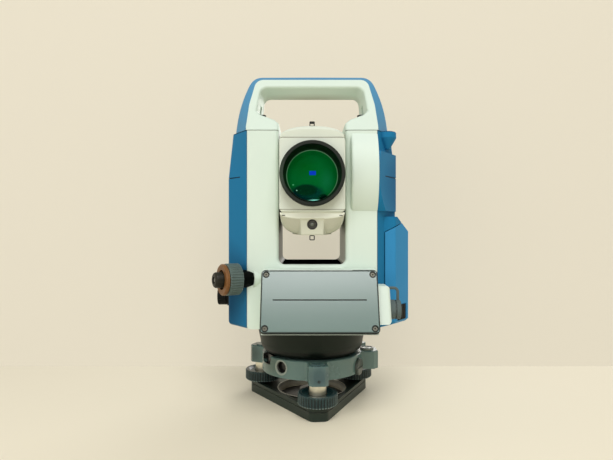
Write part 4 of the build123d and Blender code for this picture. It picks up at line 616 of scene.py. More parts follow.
@dataclass(frozen=True)
class Casting(Finish):
    """Painted light-alloy casting with orange peel and bare metal on rubbed edges."""

    name: str
    colour: Colour
    roughness: float = 0.4
    peel: float = 0.12
    bare: float = 0.35
    shine: float = 0.5
    marks: tuple[Mark, ...] = ()

    def material(self) -> bpy.types.Material:
        """Write the node tree.

        Returns:
            The finished material.
        """
        sheet = NodeSheet(self.name)
        patches = sheet.clouds(22.0, 4.0)
        peel = sheet.clouds(520.0, 3.0)
        dark = dimmed(self.colour, 0.78)
        tone = sheet.blend(patches * 0.8, self.colour, dark)
        scuffed = (sheet.edges(0.0007) * (sheet.clouds(240.0, 5.0) * 2.2 - 0.65).held() * self.bare).held()
        tone = sheet.blend(scuffed, tone, srgb(168, 170, 162))
        dirt = sheet.hollows(0.006) * (0.3 + patches)
        tone = sheet.blend((dirt * 0.3).held(), tone, srgb(40, 40, 32))
        tone, _ = Mark.lay(sheet, tone, self.marks)
        return sheet.surface(
            Base_Color=tone,
            Roughness=self.roughness + patches * 0.12 - 0.06 - scuffed * 0.1,
            Metallic=scuffed * 0.8,
            Normal=sheet.bump(peel, self.peel, 0.0005),
            Specular_IOR_Level=self.shine,
        )


@dataclass(frozen=True)
class BareMetal(Finish):
    """Turned or ground metal with fine tool lines."""

    name: str
    colour: Colour
    roughness: float = 0.28
    stretch: Triple = (1.0, 1.0, 40.0)

    def material(self) -> bpy.types.Material:
        """Write the node tree.

        Returns:
            The finished material.
        """
        sheet = NodeSheet(self.name)
        lines = sheet.clouds(120.0, 4.0, self.stretch)
        patches = sheet.clouds(30.0, 3.0)
        dull = dimmed(self.colour, 0.72)
        tone = sheet.blend((lines * 0.6 + patches * 0.3).held(), self.colour, dull)
        dirt = sheet.hollows(0.004)
        tone = sheet.blend((dirt * 0.5).held(), tone, srgb(70, 62, 46))
        return sheet.surface(
            Base_Color=tone,
            Roughness=self.roughness + lines * 0.14 + dirt * 0.2,
            Metallic=1.0 - dirt * 0.4,
            Normal=sheet.bump(lines, 0.06, 0.0003),
        )


@dataclass(frozen=True)
class Blackened(Finish):
    """Black anodised or blackened metal with a soft sheen and grey rubbed edges."""

    name: str
    colour: Colour = srgb(30, 32, 31)
    roughness: float = 0.36
    sheen: float = 0.35
    shine: float = 0.3
    marks: tuple[Mark, ...] = ()

    def material(self) -> bpy.types.Material:
        """Write the node tree.

        Returns:
            The finished material.
        """
        sheet = NodeSheet(self.name)
        fine = sheet.clouds(900.0, 2.0)
        patches = sheet.clouds(40.0, 3.0)
        rubbed = (sheet.edges(0.0006) * (patches * 1.8 - 0.4).held() * self.sheen).held()
        tone = sheet.blend(patches * 0.5, self.colour, dimmed(self.colour, 0.7))
        tone = sheet.blend(rubbed, tone, srgb(120, 122, 118))
        tone, _ = Mark.lay(sheet, tone, self.marks)
        return sheet.surface(
            Base_Color=tone,
            Roughness=self.roughness + fine * 0.1 - 0.05,
            Metallic=rubbed * 0.5,
            Normal=sheet.bump(fine, 0.05, 0.0003),
            Specular_IOR_Level=self.shine,
        )


@dataclass(frozen=True)
class Rubber(Finish):
    """Dull rubber with a dusty bloom."""

    name: str
    colour: Colour = srgb(36, 38, 36)
    bloom: Colour = srgb(66, 67, 62)

    def material(self) -> bpy.types.Material:
        """Write the node tree.

        Returns:
            The finished material.
        """
        sheet = NodeSheet(self.name)
        pores = sheet.cells(1400.0)
        bloom = sheet.clouds(60.0, 5.0)
        tone = sheet.blend((bloom * 0.5).held(), self.colour, self.bloom)
        tone = sheet.blend((sheet.hollows(0.003) * 0.4).held(), tone, srgb(88, 84, 72))
        return sheet.surface(
            Base_Color=tone,
            Roughness=0.7 + bloom * 0.15,
            Normal=sheet.bump(pores, 0.12, 0.0003),
        )


@dataclass(frozen=True)
class CoatedLens(Finish):
    """Thin coated lens: mostly clear, with a coloured gleam."""

    name: str
    tint: Colour = srgb(0, 20, 8)
    gleam: Colour = (0.01, 0.14, 0.07)
    clear: float = 0.97

    def material(self) -> bpy.types.Material:
        """Write the node tree.

        Returns:
            The finished material.
        """
        sheet = NodeSheet(self.name)
        film = sheet.clouds(45.0, 3.0)
        see = sheet.shader("BsdfTransparent", Color=(0.9, 1.0, 0.95))
        tone = sheet.blend(film, self.tint, dimmed(self.tint, 0.6))
        gleam = sheet.shader(
            "BsdfPrincipled",
            Base_Color=tone,
            Roughness=0.03 + film * 0.02,
            IOR=1.6,
            Specular_Tint=self.gleam,
        )
        glint = sheet.node("ShaderNodeFresnel", None, {"IOR": 1.2})
        share = (Signal(sheet, glint.outputs[0]) + (1.0 - self.clear)).held()
        return sheet.close(sheet.mixed(share, see, gleam))


@dataclass(frozen=True)
class DeepGlass(Finish):
    """Coated glass inside the telescope, with a painted glow in its own colour that stands in for the light
    it reflects.
    """

    name: str
    colour: Colour
    painted_light: float
    marks: tuple[Mark, ...] = ()
    drift: float = 0.35

    def material(self) -> bpy.types.Material:
        """Write the node tree.

        Returns:
            The finished material.
        """
        sheet = NodeSheet(self.name)
        tone: Feed = self.colour
        tone, _ = Mark.lay(sheet, tone, self.marks)
        streaks = sheet.clouds(60.0, 4.0, (1.0, 1.0, 0.4))
        tone = sheet.blend((streaks * self.drift).held(), tone, (0.0, 0.01, 0.004))
        return sheet.surface(
            Base_Color=tone,
            Roughness=0.1 + streaks * 0.1,
            # Painted glow: the glass emits its own colour though it is no lamp.
            Emission_Color=tone,
            Emission_Strength=self.painted_light,
            Specular_Tint=(0.05, 0.8, 0.4),
        )


@dataclass(frozen=True)
class ClearPane(Finish):
    """Clear or tinted glass laid over a coloured ground."""

    name: str
    colour: Colour
    border: Colour | None = None
    centre: Triple = (0, 0, 0)
    half: tuple[float, float] = (1, 1)
    up: Triple = (0, 0, 1)
    roughness: float = 0.06
    coat: float = 1.0

    def material(self) -> bpy.types.Material:
        """Write the node tree.

        Returns:
            The finished material.
        """
        sheet = NodeSheet(self.name)
        haze = sheet.clouds(50.0, 4.0)
        tone = sheet.blend(haze * 0.5, self.colour, dimmed(self.colour, 0.85))
        if self.border is not None:
            across, rise = sheet.slope(self.centre, self.up)
            edge = (abs(across) > self.half[0] * MM).most(abs(rise) > self.half[1] * MM)
            tone = sheet.blend(edge, tone, self.border)
        return sheet.surface(
            Base_Color=tone,
            Roughness=self.roughness + haze * 0.06,
            Coat_Weight=self.coat,
            IOR=1.5,
        )


class Merge(Enum):
    """What a tool does to a piece."""

    JOIN = "UNION"
    CUT = "DIFFERENCE"


class Bench:
    """Workbench for one new piece at a time, shaped with edit-mode tools."""

    @staticmethod
    def clear() -> None:
        """Leave edit mode and select nothing."""
        if bpy.context.object is not None and bpy.context.object.mode != "OBJECT":
            bpy.ops.object.mode_set(mode="OBJECT")
        bpy.ops.object.select_all(action="DESELECT")

    @staticmethod
    def _named(name: str) -> bpy.types.Object:
        """Name the new primitive and put its place into its mesh.

        Args:
            name: Name of the piece.

        Returns:
            The piece.
        """
        made = bpy.context.object
        made.name = name
        made.data.name = name
        bpy.ops.object.transform_apply(location=True, rotation=True, scale=True)
        return made

    def turned(
        self,
        name: str,
        radius: float,
        length: float,
        at: Sequence[float],
        along: Sequence[float] = (0, 0, 1),
        sides: int = 48,
    ) -> bpy.types.Object:
        """Start a round piece as a cylinder.

        Args:
            name: Name of the piece.
            radius: Radius in millimetres.
            length: Length in millimetres.
            at: Middle of its first end, in millimetres.
            along: Direction from that end.
            sides: Number of sides.

        Returns:
            The piece.
        """
        self.clear()
        way = Vector(along).normalized()
        middle = (Vector(at) + way * length / 2) * MM
        bpy.ops.mesh.primitive_cylinder_add(
            vertices=sides,
            radius=radius * MM,
            depth=length * MM,
            location=middle,
            rotation=way.to_track_quat("Z", "Y").to_euler(),
        )
        return self._named(name)

    def ball(
        self,
        name: str,
        radius: float,
        at: Sequence[float],
        flat: Sequence[float],
    ) -> bpy.types.Object:
        """Start a piece as a ball, flattened along its axes.

        Args:
            name: Name of the piece.
            radius: Radius in millimetres.
            at: Centre in millimetres.
            flat: Factor for each axis.

        Returns:
            The piece.
        """
        self.clear()
        bpy.ops.mesh.primitive_uv_sphere_add(
            segments=32,
            ring_count=16,
            radius=radius * MM,
            location=Vector(at) * MM,
            scale=flat,
        )
        return self._named(name)

    def block(self, name: str, size: Sequence[float], place: Matrix) -> bpy.types.Object:
        """Start a piece as a box.

        Args:
            name: Name of the piece.
            size: Size along its own axes, in millimetres.
            place: Place and turn of its middle, in millimetres.

        Returns:
            The piece.
        """
        self.clear()
        bpy.ops.mesh.primitive_cube_add(
            size=1.0,
            location=place.translation * MM,
            rotation=place.to_euler(),
            scale=Vector(size) * MM,
        )
        return self._named(name)

    def prism(self, name: str, radius: float, height: float, sides: int, place: Matrix) -> bpy.types.Object:
        """Start a piece as an upright prism with its first corner towards its own Y axis.

        Args:
            name: Name of the piece.
            radius: Radius of its corners, in millimetres.
            height: Height in millimetres.
            sides: Number of sides.
            place: Place and turn of the middle of its foot, in millimetres.

        Returns:
            The piece.
        """
        self.clear()
        bpy.ops.mesh.primitive_cylinder_add(
            vertices=sides,
            radius=radius * MM,
            depth=height * MM,
            location=(place @ Vector((0, 0, height / 2))) * MM,
            rotation=place.to_euler(),
        )
        return self._named(name)

    def joined(self, name: str, pieces: Sequence[bpy.types.Object]) -> bpy.types.Object:
        """Join several pieces into one.

        Args:
            name: Name of the result.
            pieces: The pieces.

        Returns:
            The joined piece.
        """
        self.clear()
        for piece in pieces:
            piece.select_set(True)
        bpy.context.view_layer.objects.active = pieces[0]
        bpy.ops.object.join()
        pieces[0].name = name
        pieces[0].data.name = name
        return pieces[0]

    def copied(self, piece: bpy.types.Object, name: str, move: Matrix) -> bpy.types.Object:
        """Copy a piece that isn't dressed yet, with a mesh of its own, to another place.

        Args:
            piece: The piece.
            name: Name of the copy.
            move: Move from the piece to the copy, in millimetres.

        Returns:
            The copy.
        """
        self.clear()
        mesh = piece.data.copy()
        mesh.name = name
        mesh.transform(Matrix.LocRotScale(move.translation * MM, move.to_quaternion(), None))
        copy = bpy.data.objects.new(name, mesh)
        bpy.context.collection.objects.link(copy)
        return copy

    def edit(self, piece: bpy.types.Object) -> None:
        """Open a piece for editing with nothing selected.

        Args:
            piece: The piece.
        """
        self.clear()
        piece.select_set(True)
        bpy.context.view_layer.objects.active = piece
        bpy.ops.object.mode_set(mode="EDIT")
        bpy.ops.mesh.select_mode(type="FACE")
        bpy.ops.mesh.select_all(action="DESELECT")

    @staticmethod
    def pick(piece: bpy.types.Object, test: FaceTest) -> None:
        """Select the faces that pass a test, and no others.

        Args:
            piece: The piece, open for editing.
            test: Takes a face's normal.
        """
        mesh = bmesh.from_edit_mesh(piece.data)
        for face in mesh.faces:
            face.select_set(test(face.normal))
        bmesh.update_edit_mesh(piece.data)

    def done(
        self,
        piece: bpy.types.Object,
        body: str,
        finish: Finish,
        angle: float = 35.0,
    ) -> bpy.types.Object:
        """Close a piece, shade it, dress it and let it ride on its body.

        Args:
            piece: The piece.
            body: Body of the frame that it moves with.
            finish: Its finish.
            angle: Largest angle that is shaded smooth, in degrees.

        Returns:
            The piece.
        """
        self.edit(piece)
        bpy.ops.mesh.select_all(action="SELECT")
        bpy.ops.mesh.remove_doubles(threshold=1e-7)
        bpy.ops.mesh.normals_make_consistent(inside=False)
        bpy.ops.object.mode_set(mode="OBJECT")
        bpy.ops.object.shade_smooth_by_angle(angle=math.radians(angle))
        piece.data.materials.clear()
        piece.data.materials.append(material_of(finish))
        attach(piece, body)
        LOG.info("added %s on %s", piece.name, body)
        return piece

    def drawn(self, name: str, sections: Sequence[Sequence[Vector]]) -> bpy.types.Object:
        """Draw a closed form through sections: a filled ring, extruded from each one to the next.

        Args:
            name: Name of the piece.
            sections: Rings of points in millimetres, all with as many points.

        Returns:
            The piece.
        """
        self.clear()
        bpy.ops.mesh.primitive_circle_add(vertices=len(sections[0]), radius=MM, fill_type="NGON")
        piece = self._named(name)
        past = [vertex.co.copy() for vertex in piece.data.vertices]
        self.edit(piece)
        bpy.ops.mesh.select_all(action="SELECT")
        for number, section in enumerate(sections):
            if number:
                bpy.ops.mesh.extrude_region_move()
            mesh = bmesh.from_edit_mesh(piece.data)
            for vertex in [v for v in mesh.verts if v.select]:
                nearest = min(range(len(past)), key=lambda i: (past[i] - vertex.co).length_squared)
                vertex.co = section[nearest] * MM
            bmesh.update_edit_mesh(piece.data)
            past = [point * MM for point in section]
        return piece

    def combine(self, piece: bpy.types.Object, tool: bpy.types.Object, merge: Merge) -> None:
        """Join a tool to a piece or cut it out, and remove the tool.

        Args:
            piece: The piece that is changed.
            tool: The piece that joins or cuts.
            merge: Whether it joins or cuts.
        """
        self.clear()
        for one in (piece, tool):
            self.edit(one)
            bpy.ops.mesh.select_all(action="SELECT")
            bpy.ops.mesh.normals_make_consistent(inside=False)
            self.clear()
        bpy.context.view_layer.objects.active = piece
        cut = piece.modifiers.new("cut", "BOOLEAN")
        cut.operation = merge.value
        cut.solver = "EXACT"
        cut.object = tool
        bpy.ops.object.modifier_apply(modifier=cut.name)
        bpy.data.meshes.remove(tool.data)

    def ring(
        self,
        name: str,
        outer: float,
        inner: float,
        length: float,
        at: Sequence[float],
        along: Sequence[float] = (0, 0, 1),
        round_off: float = 0.0,
        sides: int = 64,
    ) -> bpy.types.Object:
        """Make a flat ring: a disc whose ends are inset, and the inner discs bridged.

        Args:
            name: Name of the piece.
            outer: Outer radius in millimetres.
            inner: Inner radius in millimetres.
            length: Length in millimetres.
            at: Middle of its first end, in millimetres.
            along: Direction from that end.
            round_off: Bevel of its edges, in millimetres.
            sides: Number of sides.

        Returns:
            The piece.
        """
        piece = self.turned(name, outer, length, at, along, sides)
        way = Vector(along).normalized()
        self.edit(piece)
        self.pick(piece, lambda normal: abs(normal.dot(way)) > END_FACE)
        bpy.ops.mesh.inset(thickness=(outer - inner) * MM, use_individual=True)
        bpy.ops.mesh.bridge_edge_loops()
        if round_off:
            bpy.ops.mesh.select_mode(type="EDGE")
            mesh = bmesh.from_edit_mesh(piece.data)
            for edge in mesh.edges:
                sharp = len(edge.link_faces) == 2 and edge.calc_face_angle(0.0) > SHARP_EDGE
                edge.select_set(sharp)
            bmesh.update_edit_mesh(piece.data)
            bpy.ops.mesh.bevel(offset=round_off * MM, segments=2, affect="EDGES")
        return piece

    def lens(
        self,
        name: str,
        radius: float,
        edge: float,
        bulge: float,
        at: Sequence[float],
        along: Sequence[float],
    ) -> bpy.types.Object:
        """Make a lens: a disc whose front is inset in steps and drawn out to a dome.

        Args:
            name: Name of the piece.
            radius: Radius in millimetres.
            edge: Thickness at its edge, in millimetres.
            bulge: Rise of the dome, in millimetres.
            at: Middle of its back, in millimetres.
            along: Direction that its dome faces.

        Returns:
            The piece.
        """
        piece = self.turned(name, radius, edge, at, along, 64)
        way = Vector(along).normalized()
        self.edit(piece)
        self.pick(piece, lambda normal: normal.dot(way) > END_FACE)
        steps = 8
        for step in range(1, steps):
            outer, inner = (steps - step + 1) / steps, (steps - step) / steps
            rise = bulge * (outer**2 - inner**2)
            bpy.ops.mesh.inset(thickness=radius / steps * MM)
            bpy.ops.transform.translate(value=way * rise * MM)
        return piece


BENCH = Bench()


def paint(finish: Finish, *nodes: str) -> None:
    """Give CAD nodes a finish.

    Args:
        finish: The finish.
        *nodes: Names of the nodes.
    """
    for name in nodes:
        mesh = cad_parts[name].data
        mesh.materials.clear()
        mesh.materials.append(material_of(finish))
        LOG.info("dressed %s in %s", name, finish.name)


def bearing_point(radius: float, bearing: float, height: float) -> Vector:
    """Point on a circle about the vertical axis.

    Args:
        radius: Radius in millimetres.
        bearing: Bearing from the front, round to the right, in degrees.
        height: Height in millimetres.

    Returns:
        The point in millimetres.
    """
    turn = math.radians(bearing)
    return Vector((radius * math.sin(turn), -radius * math.cos(turn), height))


def bow(first: Sequence[float], pull: Sequence[float], last: Sequence[float], share: float) -> Vector:
    """Point on a bow between two points.

    Args:
        first: Point where it starts.
        pull: Point that it bends towards.
        last: Point where it ends.
        share: 0 at the start, 1 at the end.

    Returns:
        The point.
    """
    rest = 1 - share
    return Vector(first) * rest**2 + Vector(pull) * 2 * rest * share + Vector(last) * share**2


BLACK_PLASTIC = Moulded(
    "black_plastic",
    srgb(9, 12, 10),
    grain=0.08,
    dust_share=0.04,
    edge_wear_and_highlight=0.25,
    shine=0.14,
)
# Strong lighter rib edges: partly rubbed wear, partly a painted highlight on the ribs.
RIBBED_PLASTIC = Moulded(
    "ribbed_plastic",
    srgb(72, 90, 87),
    dust_share=0.1,
    edge_wear_and_highlight=0.9,
    edge_wear_and_highlight_colour=srgb(150, 172, 166),
)


class SubAssembly:
    """A group of CAD nodes that is dressed, and may have pieces of its own."""

    def dress(self) -> None:
        """Finish its CAD nodes."""
        raise NotImplementedError

    def build(self) -> None:
        """Add its own pieces, where it has any."""


@dataclass
class Tribrach(SubAssembly):
    """Levelling base: plate, foot screws, head, clamp and circular level."""

    head_top: float = 51.5
    level_bearing: float = 92.0
    level_circle: float = 59.5
    level_radius: float = 7.2
    level_rise: float = 1.4
    bezel_bore: float = 5.7
    bezel_height: float = 0.5
    ring_mark: tuple[float, float] = (3.1, 2.8)
    ink: float = 0.06
    bubble_radius: float = 1.9
    bubble_flat: float = 0.16
    bubble_drift: Triple = (0.5, 0.3, 0)
    collar_outer: float = 36.9
    collar_inner: float = 35.75
    hole_bearing: float = -36.0
    hole_height: float = 43.2
    hole_rim: float = 7.9
    hole_shade_radius: float = 6.2
    slot_bearing: float = -63.0
    wall_radius: float = 52.7
    lobe_bearings: Triple = (5.0, 125.0, 245.0)
    lobe_reach: float = 72.0
    set_screw_height: float = 37.6
    set_screw_size: Triple = (1.3, 0.6, 0.7)
    set_screw_proud: float = 0.2
    foot_circle: float = 60.0
    flutes: int = 40
    knob_low: float = 13.5
    knob_highlight_top: float = 15.1
    knob_high: float = 22.6
    paint_colour: Colour = srgb(98, 126, 121)
    plate_colour: Colour = srgb(24, 42, 34)

    def build(self) -> None:
        """Add the bezel, the ring mark and the bubble of the level, and the set screws of the lobes."""
        top = self.head_top + self.level_rise
        middle = bearing_point(self.level_circle, self.level_bearing, top)
        black = Blackened("level_bezel_black", srgb(9, 11, 10), 0.3)
        outer = self.level_radius - 0.1
        bezel = BENCH.ring("level_bezel", outer, self.bezel_bore, self.bezel_height, middle, round_off=0.15)
        BENCH.done(bezel, "head", black)
        dark = Moulded("level_ring_ink", srgb(20, 22, 20), Gloss.SEMI, 0.01)
        mark = BENCH.ring("level_ring_mark", *self.ring_mark, self.ink, middle)
        BENCH.done(mark, "head", dark)
        air = ClearPane("level_bubble_air", srgb(214, 220, 196), roughness=0.3, coat=0.2)
        centre = middle + Vector(self.bubble_drift)
        bubble = BENCH.ball("level_bubble", self.bubble_radius, centre, (1, 1, self.bubble_flat))
        BENCH.done(bubble, "head", air)
        outer, bore, length = self.set_screw_size
        first, *others = self.lobe_bearings
        seat = bearing_point(self.lobe_reach + self.set_screw_proud - length, first, self.set_screw_height)
        screws = [BENCH.ring("set_screw_1", outer, bore, length, seat, bearing_point(1, first, 0), 0.1, 24)]
        for number, bearing in enumerate(others, 2):
            turn = Matrix.Rotation(math.radians(bearing - first), 4, "Z")
            screws.append(BENCH.copied(screws[0], f"set_screw_{number}", turn))
        for screw in screws:
            BENCH.done(screw, "head", black)

    def knob(self, name: str, bearing: float) -> Moulded:
        """Finish of one foot screw, with painted shade in its flutes, a painted highlight on its lower
        chamfer, and lighter rib edges that are wear and a painted highlight.

        Args:
            name: Name of the finish.
            bearing: Bearing of the screw, in degrees.

        Returns:
            The finish.
        """
        middle = tuple(bearing_point(self.foot_circle, bearing, 0))
        first = bearing - self.lobe_bearings[0]
        return Moulded(
            name,
            srgb(20, 46, 48),
            Gloss.SEMI,
            0.06,
            dust_share=0.1,
            # Lighter rib edges: partly wear, partly a painted highlight.
            edge_wear_and_highlight=0.9,
            edge_wear_and_highlight_colour=srgb(120, 146, 144),
            shine=0.4,
            marks=(
                # Painted highlight on the lower chamfer, and painted shade in the flutes.
                Groove.girdle(self.knob_low, self.knob_highlight_top, srgb(150, 172, 168), 0.4),
                Flutes(middle, self.flutes, first, self.knob_low, self.knob_high, srgb(5, 14, 14)),
            ),
        )

    def dress(self) -> None:
        """Finish the pieces of the levelling base, with painted shade on the head near its lobes, in its
        side hole and in its alignment groove, and the ground steel of the axes.
        """
        hole = bearing_point(self.wall_radius, self.hole_bearing, self.hole_height)
        throat_shade = bearing_point(self.wall_radius * 0.94, self.hole_bearing, self.hole_height)
        slot_shade = bearing_point(self.wall_radius - 4, self.slot_bearing, self.head_top - 3)
        # Painted shade: the side hole's throat and the alignment groove are painted near black; the hole
        # also has a lighter grey rim.
        hollows = (
            Patch(tuple(hole), (self.hole_rim,) * 3, srgb(138, 148, 138), 0.06),
            Patch(tuple(throat_shade), (self.hole_shade_radius,) * 3, srgb(5, 6, 5), 0.08),
            Patch(tuple(slot_shade), (11.0, 11.0, 7.0), srgb(6, 8, 7), 0.1),
        )
        front, _, left = (tuple(bearing_point(67, bearing, 42)) for bearing in self.lobe_bearings)
        # Painted shade on the head's walls near the front and left lobes, and on its front left.
        painted_shades = (
            Patch(front, (13, 13, 16), srgb(46, 74, 80), 0.5, 0.85),
            Patch(left, (15, 15, 16), srgb(38, 56, 52), 0.5, 0.85),
            Patch(tuple(bearing_point(52, -52, 44)), (26, 26, 15), srgb(62, 86, 74), 0.7, 0.8),
        )
        casting = Casting("grey_casting", self.paint_colour, 0.26, shine=0.6, marks=(*painted_shades, *hollows))
        paint(casting, "tribrach_body")
        collar = (
            Patch((0, 0, 11), (self.collar_outer, self.collar_outer, 40), srgb(232, 224, 200), 0.01),
            Patch((0, 0, 11), (self.collar_inner, self.collar_inner, 40), srgb(40, 38, 28), 0.01),
        )
        plate = Casting("plate_casting", self.plate_colour, 0.36, bare=0.25, shine=0.4, marks=collar)
        paint(plate, "tribrach_base_plate")
        for side, bearing in zip(("front", "right", "left"), self.lobe_bearings):
            finish = self.knob(f"foot_knob_{side}", bearing)
            paint(finish, f"foot_screw_{side}")
        nickel = BareMetal("nickel", srgb(240, 236, 218), 0.3)
        paint(nickel, "foot_screw_bushes")
        spring = BareMetal("spring_steel", srgb(62, 68, 58), 0.35, (1, 12, 1))
        paint(spring, "base_spring_plate")
        paint(Casting("clamp_knob_paint", srgb(70, 78, 72), 0.36), "clamp_knob")
        liquid = ClearPane("level_liquid", srgb(180, 188, 170), roughness=0.3, coat=0.2)
        paint(liquid, "circular_level")
        steel = BareMetal("ground_steel", srgb(170, 168, 160), 0.3)
        paint(steel, "axis_sleeve", "vertical_spindle", "trunnion_axles", "trunnion_bearings")
        paint(Blackened("clamp_ring_black", srgb(26, 27, 25), 0.5), "clamp_ring")


@dataclass
class LowerBase(SubAssembly):
    """Dark bowl that stands in the levelling base and does not turn."""

    paint_colour: Colour = srgb(16, 28, 20)
    foot_shade: tuple[float, float] = (50.0, 59.5)

    def dress(self) -> None:
        """Finish the bowl, with painted shade round its foot, and the glass circles of both axes."""
        # Painted shade: a near black band round the bowl's foot, where the head's rim shades it.
        band = Groove.girdle(*self.foot_shade, srgb(3, 6, 4), 0.7)
        casting = Casting("dark_casting", self.paint_colour, 0.46, 0.08, 0.1, 0.25, (band,))
        paint(casting, "lower_base")
        paint(ClearPane("circle_glass", srgb(170, 184, 176)), "horizontal_circle", "vertical_circle")


@dataclass
class Alidade(SubAssembly):
    """Turning part: covers, saddle, blank plate, connector and battery door."""

    door_edge: float = 73.2
    door_low: float = 92.0
    door_high: float = 178.0
    mark_across: tuple[float, float] = (72.0, 100.0)
    mark_along: tuple[float, float] = (-60.0, -21.0)
    mark_half: float = 0.55
    seam_height: float = 278.1
    seam_low: float = 80.0
    seam_across: tuple[float, float] = (63.8, 64.5)
    seam_half: float = 47.0
    # The gap's size, and the boxes of painted shade on its floor and its walls.
    gap_half: tuple[float, float] = (33.5, 42.4)
    gap_floor_shade: tuple[float, float] = (138.0, 147.2)
    gap_wall_shade: tuple[float, float] = (25.0, 33.4)
    gap_shade_top: float = 276.0
    panel_normal: Triple = (0, -PANEL_OUT, PANEL_RISE)
    panel_middle: Triple = (6.7, -77.25, 114.0)
    screw_spread: tuple[float, float] = (50.15, 25.4)
    recess_shade_radius: float = 3.45
    line_half: float = 43.5
    plate_half: tuple[float, float] = (54.75, 30.0)
    notch_shade: tuple[float, float] = (-8.75, 40.0)

    def dress(self) -> None:
        """Finish the covers and the pieces on them."""
        top = self.seam_height
        wide, deep = self.gap_half
        foot, floor = self.gap_floor_shade
        inner, outer = self.gap_wall_shade
        white_marks = [
            # Painted shade: the floor of the gap near black, its left wall darker, its right wall a little
            # darker.
            Groove((-wide, -deep, foot), (wide, deep, floor), srgb(6, 7, 6)),
            Groove((-outer, -deep, floor), (-inner, deep, self.gap_shade_top), srgb(70, 72, 62), 0.9),
            Groove((inner, -deep, floor), (outer, deep, self.gap_shade_top), srgb(150, 152, 134), 0.8),
            Groove.girdle(top - 0.7, top + 1, srgb(104, 110, 98), 0.8),
        ]
        blue_marks = [Groove.girdle(top - 0.8, top + 1, srgb(2, 40, 62), 0.8)]
        front, rear = self.mark_along
        low, high = AXIS_HEIGHT - self.mark_half, AXIS_HEIGHT + self.mark_half
        for side in (-1, 1):
            near, far = sorted(side * x for x in self.seam_across)
            seam = (near, -self.seam_half, self.seam_low), (far, self.seam_half, top)
            white_marks.append(Groove(*seam, srgb(96, 116, 116), 0.8))
            near, far = sorted(side * x for x in self.mark_across)
            blue_marks.append(Groove((near, front, low), (far, rear, high)))
        white = Moulded("white_cover", srgb(222, 236, 224), grain=0.04, shine=0.2, marks=tuple(white_marks))
        paint(white, "front_cover", "rear_cover")
        # Painted shade on the blue covers: darker low on the left side and high on the right side.
        painted_blue_shade = (
            Patch((-86, -20, 112), (34, 60, 62), srgb(0, 64, 100), 0.8, 0.9),
            Patch((92, 0, 226), (32, 90, 42), srgb(0, 92, 140), 0.5, 0.8),
        )
        blue = Moulded("blue_cover", srgb(34, 120, 166), dust_share=0.03, shine=0.06)
        paint(replace(blue, marks=(*painted_blue_shade, *blue_marks)), "left_cover", "right_cover")
        edge = Groove((60, -60, self.door_low), (self.door_edge, 0, self.door_high), srgb(2, 44, 72))
        # The door is a lighter copy of the covers' blue: painted light where its slopes face the lamps.
        door = replace(blue, name="blue_door", colour=srgb(58, 142, 194), marks=(edge,))
        paint(door, "battery_door")
        self.dress_plate()
        paint(BareMetal("screw_nickel", srgb(104, 104, 96), 0.36), "panel_screws")
        # Near black with no gloss: the saddle's own dark paint, and painted shade for the gap under the
        # telescope.
        paint(Blackened("saddle_paint_and_shade", srgb(6, 7, 6), 0.7, 0.1, 0.0), "saddle_plate")
        paint(Rubber("cap_rubber", srgb(76, 90, 90), srgb(100, 112, 110)), "connector_cap", "cap_tether")
        paint(Blackened("connector_metal", srgb(40, 40, 38)), "data_connector")
        paint(BLACK_PLASTIC, "battery_latch", "battery_pack")
        alloy = Casting("raw_alloy", srgb(176, 176, 170), 0.45, 0.1, 0.1)
        paint(alloy, "yoke_frame")

    def dress_plate(self) -> None:
        """Finish the blank plate: lacquered, with painted shade on its border and on its side faces, a dark
        line, painted shade along the step at its top edge, and painted shade in the screw recesses.
        """
        x, y, z = self.panel_middle
        across, along = self.screw_spread
        up = Vector((0, self.panel_normal[2], -self.panel_normal[1]))
        # Painted shade in the screw recesses.
        recesses = []
        for side, way in ((-1, -1), (-1, 1), (1, -1), (1, 1)):
            shift = Vector((side * across, 0, 0)) + up * (way * along)
            spot = tuple(Vector(self.panel_middle) + shift)
            recesses.append(Patch(spot, (self.recess_shade_radius,) * 3, srgb(8, 10, 9)))
        wide, high = self.plate_half
        start, length = self.notch_shade
        lift = up * (high - 0.8)
        line = Stripe((x, y + up.y, z + up.z), tuple(up), 0.6, self.line_half)
        # Painted shade along the plate's rounded border and on the step at its top edge.
        border = ShadedRim((x, y, z), tuple(up), high - 1.7, wide - 1.3, srgb(40, 52, 46))
        notch_shade = Stripe((x + start, y + lift.y, z + lift.z), tuple(up), 0.9, length, srgb(30, 40, 34))
        plate = Moulded(
            "grey_plate",
            srgb(84, 114, 110),
            grain=0.07,
            dust_share=0.35,
            dust=srgb(40, 50, 48),
            shine=0.2,
            marks=(border, notch_shade, line, *recesses),
            # Painted shade on the plate's side faces.
            painted_side_shade=srgb(10, 14, 12),
            unshaded_facing=self.panel_normal,
            lacquer=1.0,
        )
        paint(plate, "blank_plate")


